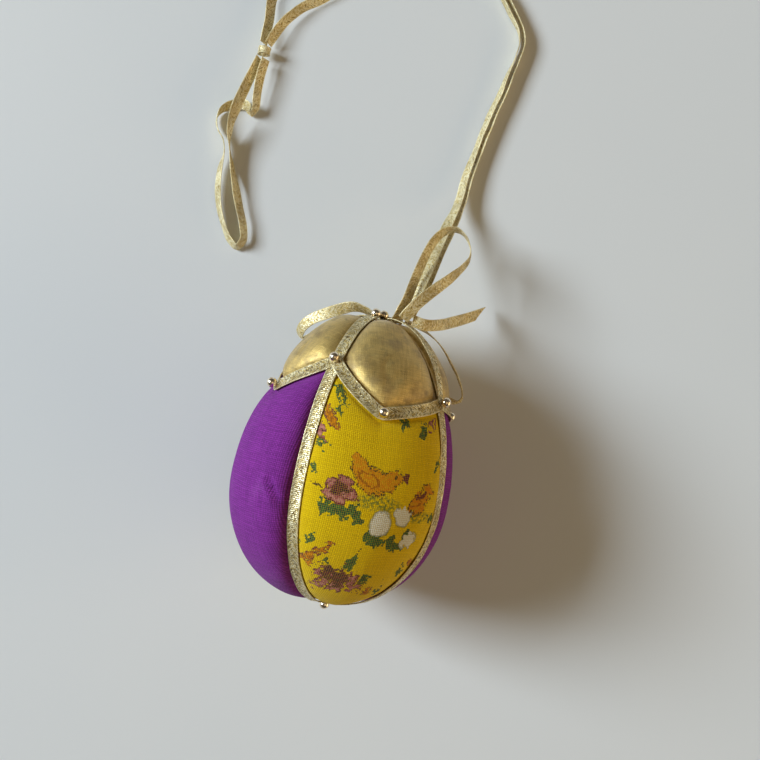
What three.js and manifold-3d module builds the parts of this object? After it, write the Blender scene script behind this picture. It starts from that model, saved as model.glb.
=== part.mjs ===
// A padded fabric egg ornament with a ribbon hanger, lying on its side.
//
// A foam egg is scored with grooves. Four padded cotton gores and four padded
// metallic cap petals cover it, with their edges tucked into the grooves.
// Ribbon lies over the grooves and ball-head pins hold it. A ribbon bow and a
// doubled, knotted ribbon hanger leave the narrow end.
//
// Millimetres, +Z up, +Y from the blunt end to the narrow end. The origin is
// under the middle of the egg, on the surface that it rests on. A place on the
// egg is given by phi (0 at the blunt pole, PI at the narrow pole), by theta
// (0 on top, positive towards +X) and by a height along the surface's normal.

import * as THREE from 'three';
import { mergeVertices } from 'three/addons/utils/BufferGeometryUtils.js';
import Module from 'manifold-3d';

const wasm = await Module();
wasm.setup();

// ---------- driving dimensions, millimetres ----------

const SEAM_RADIUS = 27; // from the egg's axis to the bottom of the ribbon valleys
const BLUNT_HALF = 30.6; // from the blunt pole to the widest section
const SHARP_HALF = 45.8; // from the widest section to the narrow pole
const WIDEST_Y = -7.6;
const CAP_PUFF = 2.2;
const RESTING_DENT = 1.0; // how far the padding is pressed in where the egg rests
const RESTING_PUFF = 2.8; // how far the padding under the egg stands above its seams
const AXIS_HEIGHT = SEAM_RADIUS + RESTING_PUFF - RESTING_DENT;
const AXIS_X = 1.6; // the left side's padding is the fuller one

const FABRIC = 0.5;
const GAP = 0.4; // between layers that lie on each other
const CORE_DEPTH = 3.2; // of the foam's surface under the seam level
const CORE_GAP = 0.8; // from the faceted foam to the padding on it
const EDGE_HEIGHT = -0.1; // of the fabric along a seam
const SEAM_HALF_GAP = 0.6; // from a seam to the fabric edges tucked in beside it
const TUCK_DEPTH = 6;
const GROOVE_WIDTH = 2.8;
const GROOVE_FLOOR = -TUCK_DEPTH - 0.6;

const RIBBON_WIDTH = 3.2;
const RIBBON_THICKNESS = 0.5;
const RIBBON_HEIGHT = 0.5; // of the middle of a ribbon that lies over a seam
const RIBBON_MARGIN = 0.4; // of flat fabric beside a ribbon before the padding rises
const SHOULDER = 9; // width over which a gore's padding rises from its seams
const HEM_SHOULDER = 28; // and from the cap's hem, where it is thin
const POLE_SHOULDER = 24; // and from the blunt pole
const CAP_SHOULDER = 7;
const HEM_SLANT = 0.72; // from a distance along the egg to one square to the slanting hem
const POLE_OPENING = { blunt: 2.6, sharp: 3.3 }; // radius left open at each pole

const PIN_BALL = 1.35;
const PIN_SHAFT = 0.3;
const PIN_BORE = 0.65;
const PIN_LENGTH = 16;
const PIN_LIFT = RIBBON_HEIGHT + RIBBON_THICKNESS / 2 + 0.15 + PIN_BALL;

// The seams run from pole to pole. corner is where the cap's hem meets the seam.
const SEAMS = [
  { name: 'front_left', angle: -25, corner: 24.6 },
  { name: 'front_right', angle: 61, corner: 18.8 },
  { name: 'back_right', angle: 155, corner: 22 },
  { name: 'back_left', angle: 241, corner: 22.5 },
];

// Each side lies between two seams. puff is how far its padding stands above them.
// slack is the share of it that is missing at the blunt end of its right seam. tip is
// how far down its petal's point reaches, and tipAt where that point lies across the
// side, from -1 to 1.
const SIDES = [
  { name: 'front', colour: 'yellow', puff: 2.8, slack: 0.8, tip: 13.9, tipAt: -0.12 },
  { name: 'right', colour: 'purple', puff: 0.6, slack: 0, tip: 15.2, tipAt: 0 },
  { name: 'back', colour: 'yellow', puff: RESTING_PUFF, slack: 0, tip: 15, tipAt: 0 },
  { name: 'left', colour: 'purple', puff: 4.2, slack: 0, tip: 15.6, tipAt: 0 },
];

const paint = (color, roughness, metalness = 0) =>
  new THREE.MeshStandardMaterial({ color, roughness, metalness });

const MATERIALS = {
  foam: paint(0xf2f0ea, 0.9),
  batting: paint(0xf7f6f2, 1),
  purple: paint(0x6a1c8c, 0.85),
  yellow: paint(0xd2ab12, 0.85),
  lame: paint(0xa88a52, 0.4, 0.6),
  ribbon: paint(0xb59a5a, 0.35, 0.7),
  brass: paint(0xc9a26b, 0.25, 1),
};

// ---------- the egg's surface ----------

const radians = THREE.MathUtils.degToRad;

function eggSection(phi) {
  const half = phi < Math.PI / 2 ? BLUNT_HALF : SHARP_HALF;
  const normal = new THREE.Vector2(-Math.cos(phi) / half, Math.sin(phi) / SEAM_RADIUS).normalize();
  const y = WIDEST_Y - half * Math.cos(phi);
  return { y, r: SEAM_RADIUS * Math.sin(phi), normal };
}

function eggPoint(phi, theta, height, floor = -Infinity) {
  const { y, r, normal } = eggSection(phi);
  const radius = r + height * normal.y;
  const z = AXIS_HEIGHT + radius * Math.cos(theta);
  const x = AXIS_X + radius * Math.sin(theta);
  return new THREE.Vector3(x, y + height * normal.x, Math.max(z, floor));
}

function eggNormal(phi, theta) {
  const { normal } = eggSection(phi);
  return new THREE.Vector3(normal.y * Math.sin(theta), normal.x, normal.y * Math.cos(theta));
}

function phiAt(y) {
  const half = y < WIDEST_Y ? BLUNT_HALF : SHARP_HALF;
  return Math.acos((WIDEST_Y - y) / half);
}

const phiOfRadius = (radius) => Math.asin(radius / SEAM_RADIUS);

// How far padding has risen at a distance from the edge of its section, 0 to 1.
const RISE_POWER = 2.4;

function rise(distance, shoulder) {
  const x = THREE.MathUtils.clamp((distance - RIBBON_WIDTH / 2 - RIBBON_MARGIN) / shoulder, 0, 1);
  return Math.sqrt(1 - (1 - x) ** RISE_POWER);
}

// The same at a radius from a pole, where it rises more gently.
function riseFromPole(radius, opening, shoulder) {
  const x = THREE.MathUtils.clamp((radius - opening - RIBBON_MARGIN) / shoulder, 0, 1);
  return Math.sin((Math.PI / 2) * x);
}

// ---------- closed solids ----------

function signedVolume(points, triangles) {
  let sum = 0;
  for (let i = 0; i < triangles.length; i += 3) {
    const [a, b, c] = triangles.slice(i, i + 3).map((k) => points[k]);
    sum += a.dot(new THREE.Vector3().crossVectors(b, c));
  }
  return sum / 6;
}

// A closed solid between two grids of points that have the same rows and columns.
function solidBetween(outer, inner) {
  const rows = outer.length;
  const columns = outer[0].length;
  const points = [...outer.flat(), ...inner.flat()];
  const top = (i, j) => i * columns + j;
  const under = (i, j) => rows * columns + top(i, j);
  const triangles = [];
  const quad = (a, b, c, d) => triangles.push(a, b, c, a, c, d);
  for (let i = 0; i < rows - 1; i++) {
    for (let j = 0; j < columns - 1; j++) {
      quad(top(i, j), top(i, j + 1), top(i + 1, j + 1), top(i + 1, j));
      quad(under(i, j), under(i + 1, j), under(i + 1, j + 1), under(i, j + 1));
    }
  }
  const lastRow = rows - 1;
  const lastColumn = columns - 1;
  for (let j = 0; j < lastColumn; j++) {
    quad(top(0, j), under(0, j), under(0, j + 1), top(0, j + 1));
    quad(top(lastRow, j), top(lastRow, j + 1), under(lastRow, j + 1), under(lastRow, j));
  }
  for (let i = 0; i < lastRow; i++) {
    quad(top(i, 0), top(i + 1, 0), under(i + 1, 0), under(i, 0));
    quad(top(i, lastColumn), under(i, lastColumn), under(i + 1, lastColumn), top(i + 1, lastColumn));
  }
  if (signedVolume(points, triangles) < 0) {
    triangles.reverse();
  }
  const geometry = new THREE.BufferGeometry();
  geometry.setAttribute('position', new THREE.Float32BufferAttribute(points.flatMap((p) => p.toArray()), 3));
  geometry.setIndex(triangles);
  return geometry;
}

function toManifold(geometry) {
  const plain = geometry.clone();
  plain.deleteAttribute('normal');
  plain.deleteAttribute('uv');
  const merged = mergeVertices(plain, 1e-3);
  const mesh = new wasm.Mesh({
    numProp: 3,
    vertProperties: Float32Array.from(merged.attributes.position.array),
    triVerts: Uint32Array.from(merged.index.array),
  });
  return new wasm.Manifold(mesh);
}

function fromManifold(solid) {
  const mesh = solid.getMesh();
  const geometry = new THREE.BufferGeometry();
  geometry.setAttribute('position', new THREE.BufferAttribute(Float32Array.from(mesh.vertProperties), 3));
  geometry.setIndex(new THREE.BufferAttribute(Uint32Array.from(mesh.triVerts), 1));
  return geometry;
}

function cutAway(geometry, cutters) {
  let solid = toManifold(geometry);
  for (const cutter of cutters) {
    solid = solid.subtract(toManifold(cutter));
  }
  return fromManifold(solid);
}

// ---------- the assembly ----------

const ornament = new THREE.Group();

function addMesh(name, geometry, material) {
  const mesh = new THREE.Mesh(geometry, material);
  mesh.name = name;
  ornament.add(mesh);
  return mesh;
}

function seamsOf(sideIndex) {
  const left = SEAMS[sideIndex];
  const right = SEAMS[(sideIndex + 1) % SEAMS.length];
  const span = radians((right.angle - left.angle + 360) % 360);
  return { left, right, start: radians(left.angle), span };
}

const SLACK_FROM = -2; // y where the slack of a side begins
const SLACK_LENGTH = 20; // and the distance over which it comes in

// The share of a side's puff that is left at a place on it.
function fullness(sideIndex, u, y) {
  const down = THREE.MathUtils.clamp((SLACK_FROM - y) / SLACK_LENGTH, 0, 1);
  return 1 - SIDES[sideIndex].slack * Math.max(0, u) * down;
}

// y of the hem across one side, at u = -1 on its left seam to u = 1 on its right seam.
const HEM_BOW = 1.1; // 1 for straight edges from the tip to the corners

function hemY(sideIndex, u) {
  const { left, right } = seamsOf(sideIndex);
  const { tip, tipAt } = SIDES[sideIndex];
  const corner = u < tipAt ? left.corner : right.corner;
  const share = u < tipAt ? (tipAt - u) / (tipAt + 1) : (u - tipAt) / (1 - tipAt);
  return tip + (corner - tip) * share ** HEM_BOW;
}

// ---------- padded sections: gores and petals ----------

// Where the columns of a section's grid lie across it: distances in millimetres
// from the seam for the tucked edge, then shares of the rest up to the middle.
const SHARES = {
  plain: [0.12, 0.32, 0.62],
  fine: [0.1, 0.24, 0.4, 0.58, 0.78],
};
const ROWS = {
  gore: [0, 0.04, 0.1, 0.18, 0.28, 0.4, 0.52, 0.64, 0.76, 0.86, 0.93, 0.97, 1],
  goreFine: [0, 0.05, 0.12, 0.22, 0.34, 0.45, 0.54, 0.62, 0.7, 0.78, 0.87, 0.94, 0.98, 1],
  petal: [0, 0.05, 0.14, 0.28, 0.45, 0.62, 0.78, 0.9, 1],
};

// The columns of a grid: u across the section, the distance to its nearer seam,
// and whether the column is the tucked edge's lower end.
function sectionColumns(halfWidth, shares, edge, withTuck) {
  const ribbonEdge = Math.min(RIBBON_WIDTH / 2 + RIBBON_MARGIN, halfWidth * 0.55);
  const wall = Math.min(edge, halfWidth * 0.3);
  const distances = [wall, ribbonEdge, ...shares.map((s) => ribbonEdge + s * (halfWidth - ribbonEdge))];
  const half = distances.map((d) => ({ u: -1 + d / halfWidth, d, tuck: false }));
  if (withTuck) {
    half.unshift({ ...half[0], tuck: true });
  }
  const mirrored = half.map((c) => ({ ...c, u: -c.u })).reverse();
  return [...half, { u: 0, d: halfWidth, tuck: false }, ...mirrored];
}

// Moves a section's middle column to the tip of the hem, and the others with it.
function towardsTip(sideIndex, { u, d, tuck }, halfWidth) {
  const { tipAt } = SIDES[sideIndex];
  const moved = u + tipAt * (1 - Math.abs(u));
  return { u: moved, d: tipAt === 0 ? d : (1 - Math.abs(moved)) * halfWidth, tuck };
}

// One surface of a section, as a grid of points. layer is how far it lies under
// the section's outer face, and edge is how far from the seam it starts.
function sectionGrid(section, layer, edge, bottomLevel) {
  const { sideIndex, rows, shares, puff, shoulders, phiFrom, phiTo, poleRadius, withTuck } = section;
  const { start, span } = seamsOf(sideIndex);
  return rows.map((v) => {
    const middle = eggSection(phiFrom(0) + (phiTo(0) - phiFrom(0)) * v);
    const halfWidth = middle.r * span / 2;
    return sectionColumns(halfWidth, shares, edge, withTuck).map((column) => {
      const { u, d, tuck } = towardsTip(sideIndex, column, halfWidth);
      const phi = phiFrom(u) + (phiTo(u) - phiFrom(u)) * v;
      const { y, r } = eggSection(phi);
      const theta = start + span * (u + 1) / 2;
      const toHem = Math.abs(hemY(sideIndex, u) - y) * HEM_SLANT;
      const fromPole = riseFromPole(r, poleRadius, shoulders.pole);
      const full = fullness(sideIndex, u, y) * rise(d, shoulders.seam) * fromPole;
      const height = puff * full * rise(toHem, shoulders.hem);
      const level = bottomLevel ?? EDGE_HEIGHT + height - layer;
      return eggPoint(phi, theta, tuck ? -TUCK_DEPTH : level, layer);
    });
  });
}

function goreSection(sideIndex) {
  const { name, puff } = SIDES[sideIndex];
  const fine = name === 'back';
  return {
    sideIndex,
    rows: fine ? ROWS.goreFine : ROWS.gore,
    shares: fine ? SHARES.fine : SHARES.plain,
    puff,
    shoulders: { seam: SHOULDER, hem: HEM_SHOULDER, pole: POLE_SHOULDER },
    phiFrom: () => phiOfRadius(POLE_OPENING.blunt),
    phiTo: (u) => phiAt(hemY(sideIndex, u) - SEAM_HALF_GAP),
    poleRadius: POLE_OPENING.blunt,
    withTuck: true,
  };
}

function petalSection(sideIndex) {
  return {
    sideIndex,
    rows: ROWS.petal,
    shares: SHARES.plain,
    puff: CAP_PUFF,
    shoulders: { seam: CAP_SHOULDER, hem: CAP_SHOULDER, pole: CAP_SHOULDER },
    phiFrom: (u) => phiAt(hemY(sideIndex, u) + SEAM_HALF_GAP),
    phiTo: () => Math.PI - phiOfRadius(POLE_OPENING.sharp),
    poleRadius: POLE_OPENING.sharp,
    withTuck: true,
  };
}

// The fabric of a section: a thin shell whose side edges turn down into the grooves.
function fabricShell(section) {
  const outer = sectionGrid(section, 0, SEAM_HALF_GAP);
  const inner = sectionGrid(section, FABRIC, SEAM_HALF_GAP + FABRIC);
  return solidBetween(outer, inner);
}

// The padding of a section fills the room between its fabric and the foam.
function battingPad(section) {
  const edge = SEAM_HALF_GAP + FABRIC + GAP;
  const inset = { ...section, withTuck: false, rows: section.rows.slice(1, -1) };
  const outer = sectionGrid(inset, FABRIC + GAP, edge);
  const inner = sectionGrid(inset, 0, edge, -CORE_DEPTH + CORE_GAP);
  return solidBetween(outer, inner);
}

SIDES.forEach(({ name, colour }, index) => {
  const gore = goreSection(index);
  const petal = petalSection(index);
  addMesh(`${name}_${colour}_gore`, fabricShell(gore), MATERIALS[colour]);
  addMesh(`${name}_${colour}_batting`, battingPad(gore), MATERIALS.batting);
  addMesh(`${name}_cap_petal`, fabricShell(petal), MATERIALS.lame);
  addMesh(`${name}_cap_batting`, battingPad(petal), MATERIALS.batting);
});

// ---------- strips of ribbon ----------

// frames are {at, across, up}: a point, the direction of the width and the
// direction of the thickness. The section is a flat octagon, or a plain oblong.
const OBLONG = [[-1, 1], [1, 1]];
const OCTAGON = [[-1, 0.4], [-0.85, 1], [0.85, 1], [1, 0.4]];

function strip(frames, width, thickness, section = OBLONG) {
  const face = (sign) => frames.map(({ at, across, up }) => section.map(([w, t]) =>
    at.clone().addScaledVector(across, w * width / 2).addScaledVector(up, sign * t * thickness / 2)));
  return solidBetween(face(1), face(-1));
}

// Frames along a path on the egg given as [phi, theta] pairs.
function framesOnEgg(path, height) {
  const at = path.map(([phi, theta]) => eggPoint(phi, theta, height));
  return path.map(([phi, theta], i) => {
    const ahead = at[Math.min(i + 1, at.length - 1)];
    const behind = at[Math.max(i - 1, 0)];
    const up = eggNormal(phi, theta);
    const tangent = ahead.clone().sub(behind).normalize();
    const across = new THREE.Vector3().crossVectors(up, tangent).normalize();
    return { at: at[i], across, up };
  });
}

function spread(from, to, count) {
  return Array.from({ length: count + 1 }, (_, i) => from + (to - from) * i / count);
}

const RIBBON_POLE_RADIUS = { blunt: 2.9, sharp: 3.6 };
const CORNER_CLEARANCE = 3.3; // from a corner pin to the end of a ribbon that meets it
const HEM_CORNER_GAP = 2.4; // from a seam to the end of a hem's ribbon

function laidRibbon(path) {
  return strip(framesOnEgg(path, RIBBON_HEIGHT), RIBBON_WIDTH, RIBBON_THICKNESS);
}

function meridianRibbon(angle, phiFrom, phiTo, steps) {
  return laidRibbon(spread(phiFrom, phiTo, steps).map((phi) => [phi, radians(angle)]));
}

function seamRibbon({ angle, corner }) {
  const phiFrom = phiOfRadius(RIBBON_POLE_RADIUS.blunt);
  return meridianRibbon(angle, phiFrom, phiAt(corner - CORNER_CLEARANCE), 16);
}

function crownRibbon({ angle, corner }) {
  const phiTo = Math.PI - phiOfRadius(RIBBON_POLE_RADIUS.sharp);
  return meridianRibbon(angle, phiAt(corner + CORNER_CLEARANCE), phiTo, 8);
}

// The path of a side's hem, from one corner to the other by way of the tip.
function hemPath(sideIndex, cornerGap, count) {
  const { start, span } = seamsOf(sideIndex);
  const { tip, tipAt } = SIDES[sideIndex];
  const reach = 1 - cornerGap / (eggSection(phiAt(tip)).r * span / 2);
  const across = [...spread(-reach, tipAt, count / 2), ...spread(tipAt, reach, count / 2).slice(1)];
  return across.map((u) => [phiAt(hemY(sideIndex, u)), start + span * (u + 1) / 2]);
}

function tipPlace(sideIndex) {
  const { start, span } = seamsOf(sideIndex);
  const { tip, tipAt } = SIDES[sideIndex];
  return { phi: phiAt(tip), theta: start + span * (tipAt + 1) / 2 };
}

// ---------- pins ----------

function pinShape() {
  const profile = [new THREE.Vector2(0, PIN_LIFT - PIN_LENGTH)];
  profile.push(new THREE.Vector2(PIN_SHAFT, PIN_LIFT - PIN_LENGTH + 1.2));
  const neck = Math.asin(PIN_SHAFT / PIN_BALL);
  for (const a of spread(neck, Math.PI, 5)) {
    profile.push(new THREE.Vector2(PIN_BALL * Math.sin(a), PIN_LIFT - PIN_BALL * Math.cos(a)));
  }
  profile[profile.length - 1].x = 0;
  return new THREE.LatheGeometry(profile, 9);
}

// A pin's frame stands at the surface with its Y axis along the pin, out of the egg.
function placed(geometry, at, outward) {
  const turn = new THREE.Quaternion().setFromUnitVectors(new THREE.Vector3(0, 1, 0), outward);
  return geometry.clone().applyQuaternion(turn).translate(at.x, at.y, at.z);
}

function pinBore(at, outward) {
  const depth = PIN_LENGTH + 1;
  const bore = new THREE.CylinderGeometry(PIN_BORE, PIN_BORE, depth, 8).translate(0, PIN_LIFT - depth / 2, 0);
  return placed(bore, at, outward);
}

const pinPlaces = [];

function placePin(name, at, outward) {
  pinPlaces.push({ name, at, outward });
}

const POLE_Y = { blunt: WIDEST_Y - BLUNT_HALF, sharp: WIDEST_Y + SHARP_HALF };
const POLE_PIN_DROP = 1.05; // the pole pins' balls sit this much deeper than the others
const CROWN_PINS = [
  { name: 'crown_pin_upper', x: -1.0, z: 1.2 },
  { name: 'crown_pin_lower', x: 1.1, z: -1.2 },
];

SIDES.forEach(({ name }, index) => {
  const { phi, theta } = tipPlace(index);
  placePin(`tip_pin_${name}`, eggPoint(phi, theta, 0), eggNormal(phi, theta));
});
SEAMS.forEach(({ name, angle, corner }) => {
  const phi = phiAt(corner);
  placePin(`corner_pin_${name}`, eggPoint(phi, radians(angle), 0), eggNormal(phi, radians(angle)));
});
CROWN_PINS.forEach(({ name, x, z }) => {
  const at = new THREE.Vector3(AXIS_X + x, POLE_Y.sharp - POLE_PIN_DROP, AXIS_HEIGHT + z);
  placePin(name, at, new THREE.Vector3(0, 1, 0));
});
const bluntPole = new THREE.Vector3(AXIS_X, POLE_Y.blunt + POLE_PIN_DROP, AXIS_HEIGHT);
placePin('base_pin', bluntPole, new THREE.Vector3(0, -1, 0));

const PIN = pinShape();
pinPlaces.forEach(({ name, at, outward }) => addMesh(name, placed(PIN, at, outward), MATERIALS.brass));

// ---------- ribbons on the egg ----------

SEAMS.forEach((seam) => {
  addMesh(`seam_ribbon_${seam.name}`, seamRibbon(seam), MATERIALS.ribbon);
  addMesh(`crown_ribbon_${seam.name}`, crownRibbon(seam), MATERIALS.ribbon);
});

SIDES.forEach(({ name }, index) => {
  const ribbon = laidRibbon(hemPath(index, HEM_CORNER_GAP, 12));
  const { at, outward } = pinPlaces.find((pin) => pin.name === `tip_pin_${name}`);
  addMesh(`hem_ribbon_${name}`, cutAway(ribbon, [pinBore(at, outward)]), MATERIALS.ribbon);
});

// ---------- the foam core ----------

function coreBlank() {
  const profile = spread(0, Math.PI, 16).map((phi) => {
    const { y, r, normal } = eggSection(phi);
    return new THREE.Vector2(Math.max(0, r - CORE_DEPTH * normal.y), y - CORE_DEPTH * normal.x);
  });
  profile[0].x = 0;
  profile[profile.length - 1].x = 0;
  return new THREE.LatheGeometry(profile, 24);
}

// A ring-shaped blade in a plane through the axis scores two opposite seams.
function meridianBlade(angle) {
  const outline = (height, shape) => {
    const half = spread(0, Math.PI, 12).map((phi) => eggPoint(phi, 0, height));
    const right = half.map((p) => new THREE.Vector2(p.z - AXIS_HEIGHT, p.y));
    const left = right.slice(1, -1).reverse().map((p) => new THREE.Vector2(-p.x, p.y));
    return shape.setFromPoints([...right, ...left]);
  };
  const ring = outline(2, new THREE.Shape());
  ring.holes.push(outline(GROOVE_FLOOR, new THREE.Path()));
  const blade = new THREE.ExtrudeGeometry(ring, { depth: GROOVE_WIDTH, bevelEnabled: false });
  blade.translate(0, 0, -GROOVE_WIDTH / 2);
  return blade.rotateY(radians(angle - 90)).translate(AXIS_X, 0, AXIS_HEIGHT);
}

// A hem's blade follows the hem with its width standing in the foam.
function hemBlade(sideIndex) {
  const frames = framesOnEgg(hemPath(sideIndex, 0.5, 8), (GROOVE_FLOOR + 1) / 2);
  const upright = frames.map(({ at, across, up }) => ({ at, across: up, up: across }));
  return strip(upright, 1 - GROOVE_FLOOR, GROOVE_WIDTH);
}

const blank = coreBlank().translate(AXIS_X, 0, AXIS_HEIGHT);
addMesh(
  'foam_core',
  cutAway(blank, [
    meridianBlade(SEAMS[0].angle),
    meridianBlade(SEAMS[1].angle),
    ...SIDES.map((_, index) => hemBlade(index)),
    ...pinPlaces.map(({ at, outward }) => pinBore(at, outward)),
  ]),
  MATERIALS.foam,
);

// ---------- free ribbons ----------

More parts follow.
